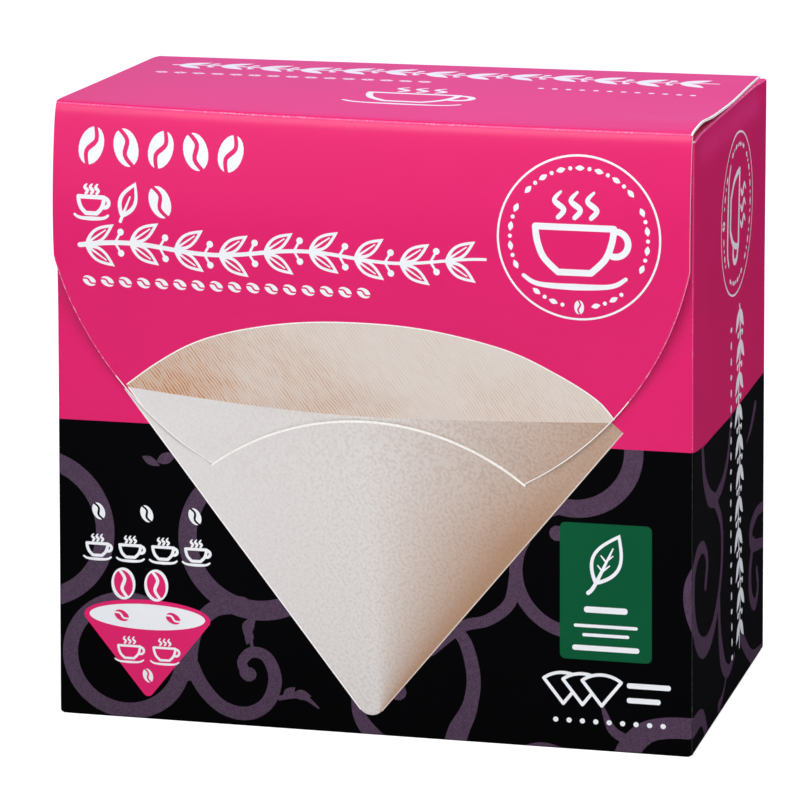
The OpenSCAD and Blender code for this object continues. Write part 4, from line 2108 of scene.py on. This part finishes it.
@dataclass
class Studio:
    """The floor, the lamps, the world and the camera."""

    yaw: float = 14.894  # the camera's turn round the object, in degrees
    tilt: float = 13.366  # how far above the horizon it stands, in degrees
    roll: float = -0.521  # its roll, in degrees
    position: Solid = (0.27404, -1.04746, 0.32891)  # where it stands, in metres
    lens: float = 204.57  # its focal length, in millimetres on the sensor below
    sensor: float = 36.0  # the sensor's width, in millimetres
    aim: Solid = (0.0, 0.0, 0.07)  # the point that the lamps face, in metres
    daylight: float = 0.26  # the strength of the even light from all round
    floor_radius: float = 4.0  # the floor's radius, in metres
    lamps: tuple[Lamp, ...] = (
        Lamp("front_softbox", (-0.08, -0.4, 0.56), 0.36, 2.05),
        Lamp("front_card", (-0.32, -1.0, 0.3), 0.5, 0.75, (0.96, 0.88, 1.0)),
        Lamp("side_softbox", (0.4, -0.44, 0.4), 0.3, 0.98),
        Lamp("top_softbox", (0.25, 0.15, 1.0), 0.6, 4.6, (0.88, 0.84, 1.0)),
        Lamp("back_softbox", (0.0, 1.05, 0.36), 0.9, 1.3, (0.6, 0.2, 1.0)),
    )

    def add_camera(self) -> None:
        """Adds the camera at the photograph's viewing angle."""
        yaw, tilt, roll = (math.radians(v) for v in (self.yaw, self.tilt, self.roll))
        back = Vector((math.sin(yaw) * math.cos(tilt), -math.cos(yaw) * math.cos(tilt), math.sin(tilt)))
        level = Vector((math.cos(yaw), math.sin(yaw), 0.0))
        upright = back.cross(level)
        right = level * math.cos(roll) + upright * math.sin(roll)
        up = upright * math.cos(roll) - level * math.sin(roll)
        data = bpy.data.cameras.new("camera")
        data.lens, data.sensor_width = self.lens, self.sensor
        data.clip_start, data.clip_end = 0.01, 50.0
        camera = shown("camera", data)
        axes = Matrix((right, up, back)).transposed().to_4x4()
        camera.matrix_world = Matrix.Translation(Vector(self.position)) @ axes
        bpy.context.scene.camera = camera

    def add_world(self) -> None:
        """Adds even light from all round, in front of a white ground."""
        world = bpy.data.worlds.new("studio")
        bpy.context.scene.world = world
        world.use_nodes = True
        tree = world.node_tree
        even = next(n for n in tree.nodes if n.type == "BACKGROUND")
        ground = tree.nodes.new("ShaderNodeBackground")
        for node, strength in ((even, self.daylight), (ground, 1.0)):
            node.inputs["Color"].default_value = PURE_WHITE
            node.inputs["Strength"].default_value = strength
        paths = tree.nodes.new("ShaderNodeLightPath")
        mixed = tree.nodes.new("ShaderNodeMixShader")
        for i, source in enumerate((paths.outputs["Is Camera Ray"], even.outputs[0], ground.outputs[0])):
            tree.links.new(source, mixed.inputs[i])
        output = next(n for n in tree.nodes if n.type == "OUTPUT_WORLD")
        tree.links.new(mixed.outputs[0], output.inputs["Surface"])

    def add_floor(self) -> None:
        """Adds the floor, a wide disc under the object."""
        mesh = bpy.data.meshes.new("floor")
        ring = ellipse((0.0, 0.0), self.floor_radius, self.floor_radius, 64)
        mesh.from_pydata([(x, y, 0.0) for x, y in ring], [], [tuple(range(len(ring)))])
        mesh.materials.append(StudioFloor(roughness=0.95, specular=0.1).make("studio_floor"))
        shown("floor", mesh)

    def build(self) -> None:
        """Adds everything round the object."""
        self.add_camera()
        self.add_world()
        for lamp in self.lamps:
            lamp.hang(self.aim)
        self.add_floor()
        bpy.context.scene.view_settings.view_transform = "Standard"


def main() -> None:
    """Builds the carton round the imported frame, piece by piece."""
    logging.basicConfig(level=logging.INFO, format="%(name)s: %(message)s")
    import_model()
    body_low, body_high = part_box("carton_body")
    stack_low, stack_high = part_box("filter_stack")
    _, flap_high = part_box("front_flap")
    form = CartonForm(
        width=(body_high.x - body_low.x) / MM,
        depth=(body_high.y - body_low.y) / MM,
        wall_top=body_high.z / MM,
        lid_crease=flap_high.z / MM,
    )
    finishes = make_finishes(form)
    creped = CrepedPaper(srgb(218, 194, 156), srgb(200, 172, 132), roughness=0.92, specular=0.12)
    lid = Lid(form)
    printed = FrontPrint(form)
    pieces = [
        CartonShell(form).build(finishes, printed.lower()),
        lid.build(finishes),
        FrontFlap(form, lid).build(finishes, printed.whole()),
        FilterStack(stack_low / MM, stack_high / MM).build(creped.make("creped_filter_paper")),
    ]
    for piece in pieces:
        log.info("%s: %d faces", piece.name, len(piece.data.polygons))
    Studio().build()

if __name__ == "__main__":
    main()
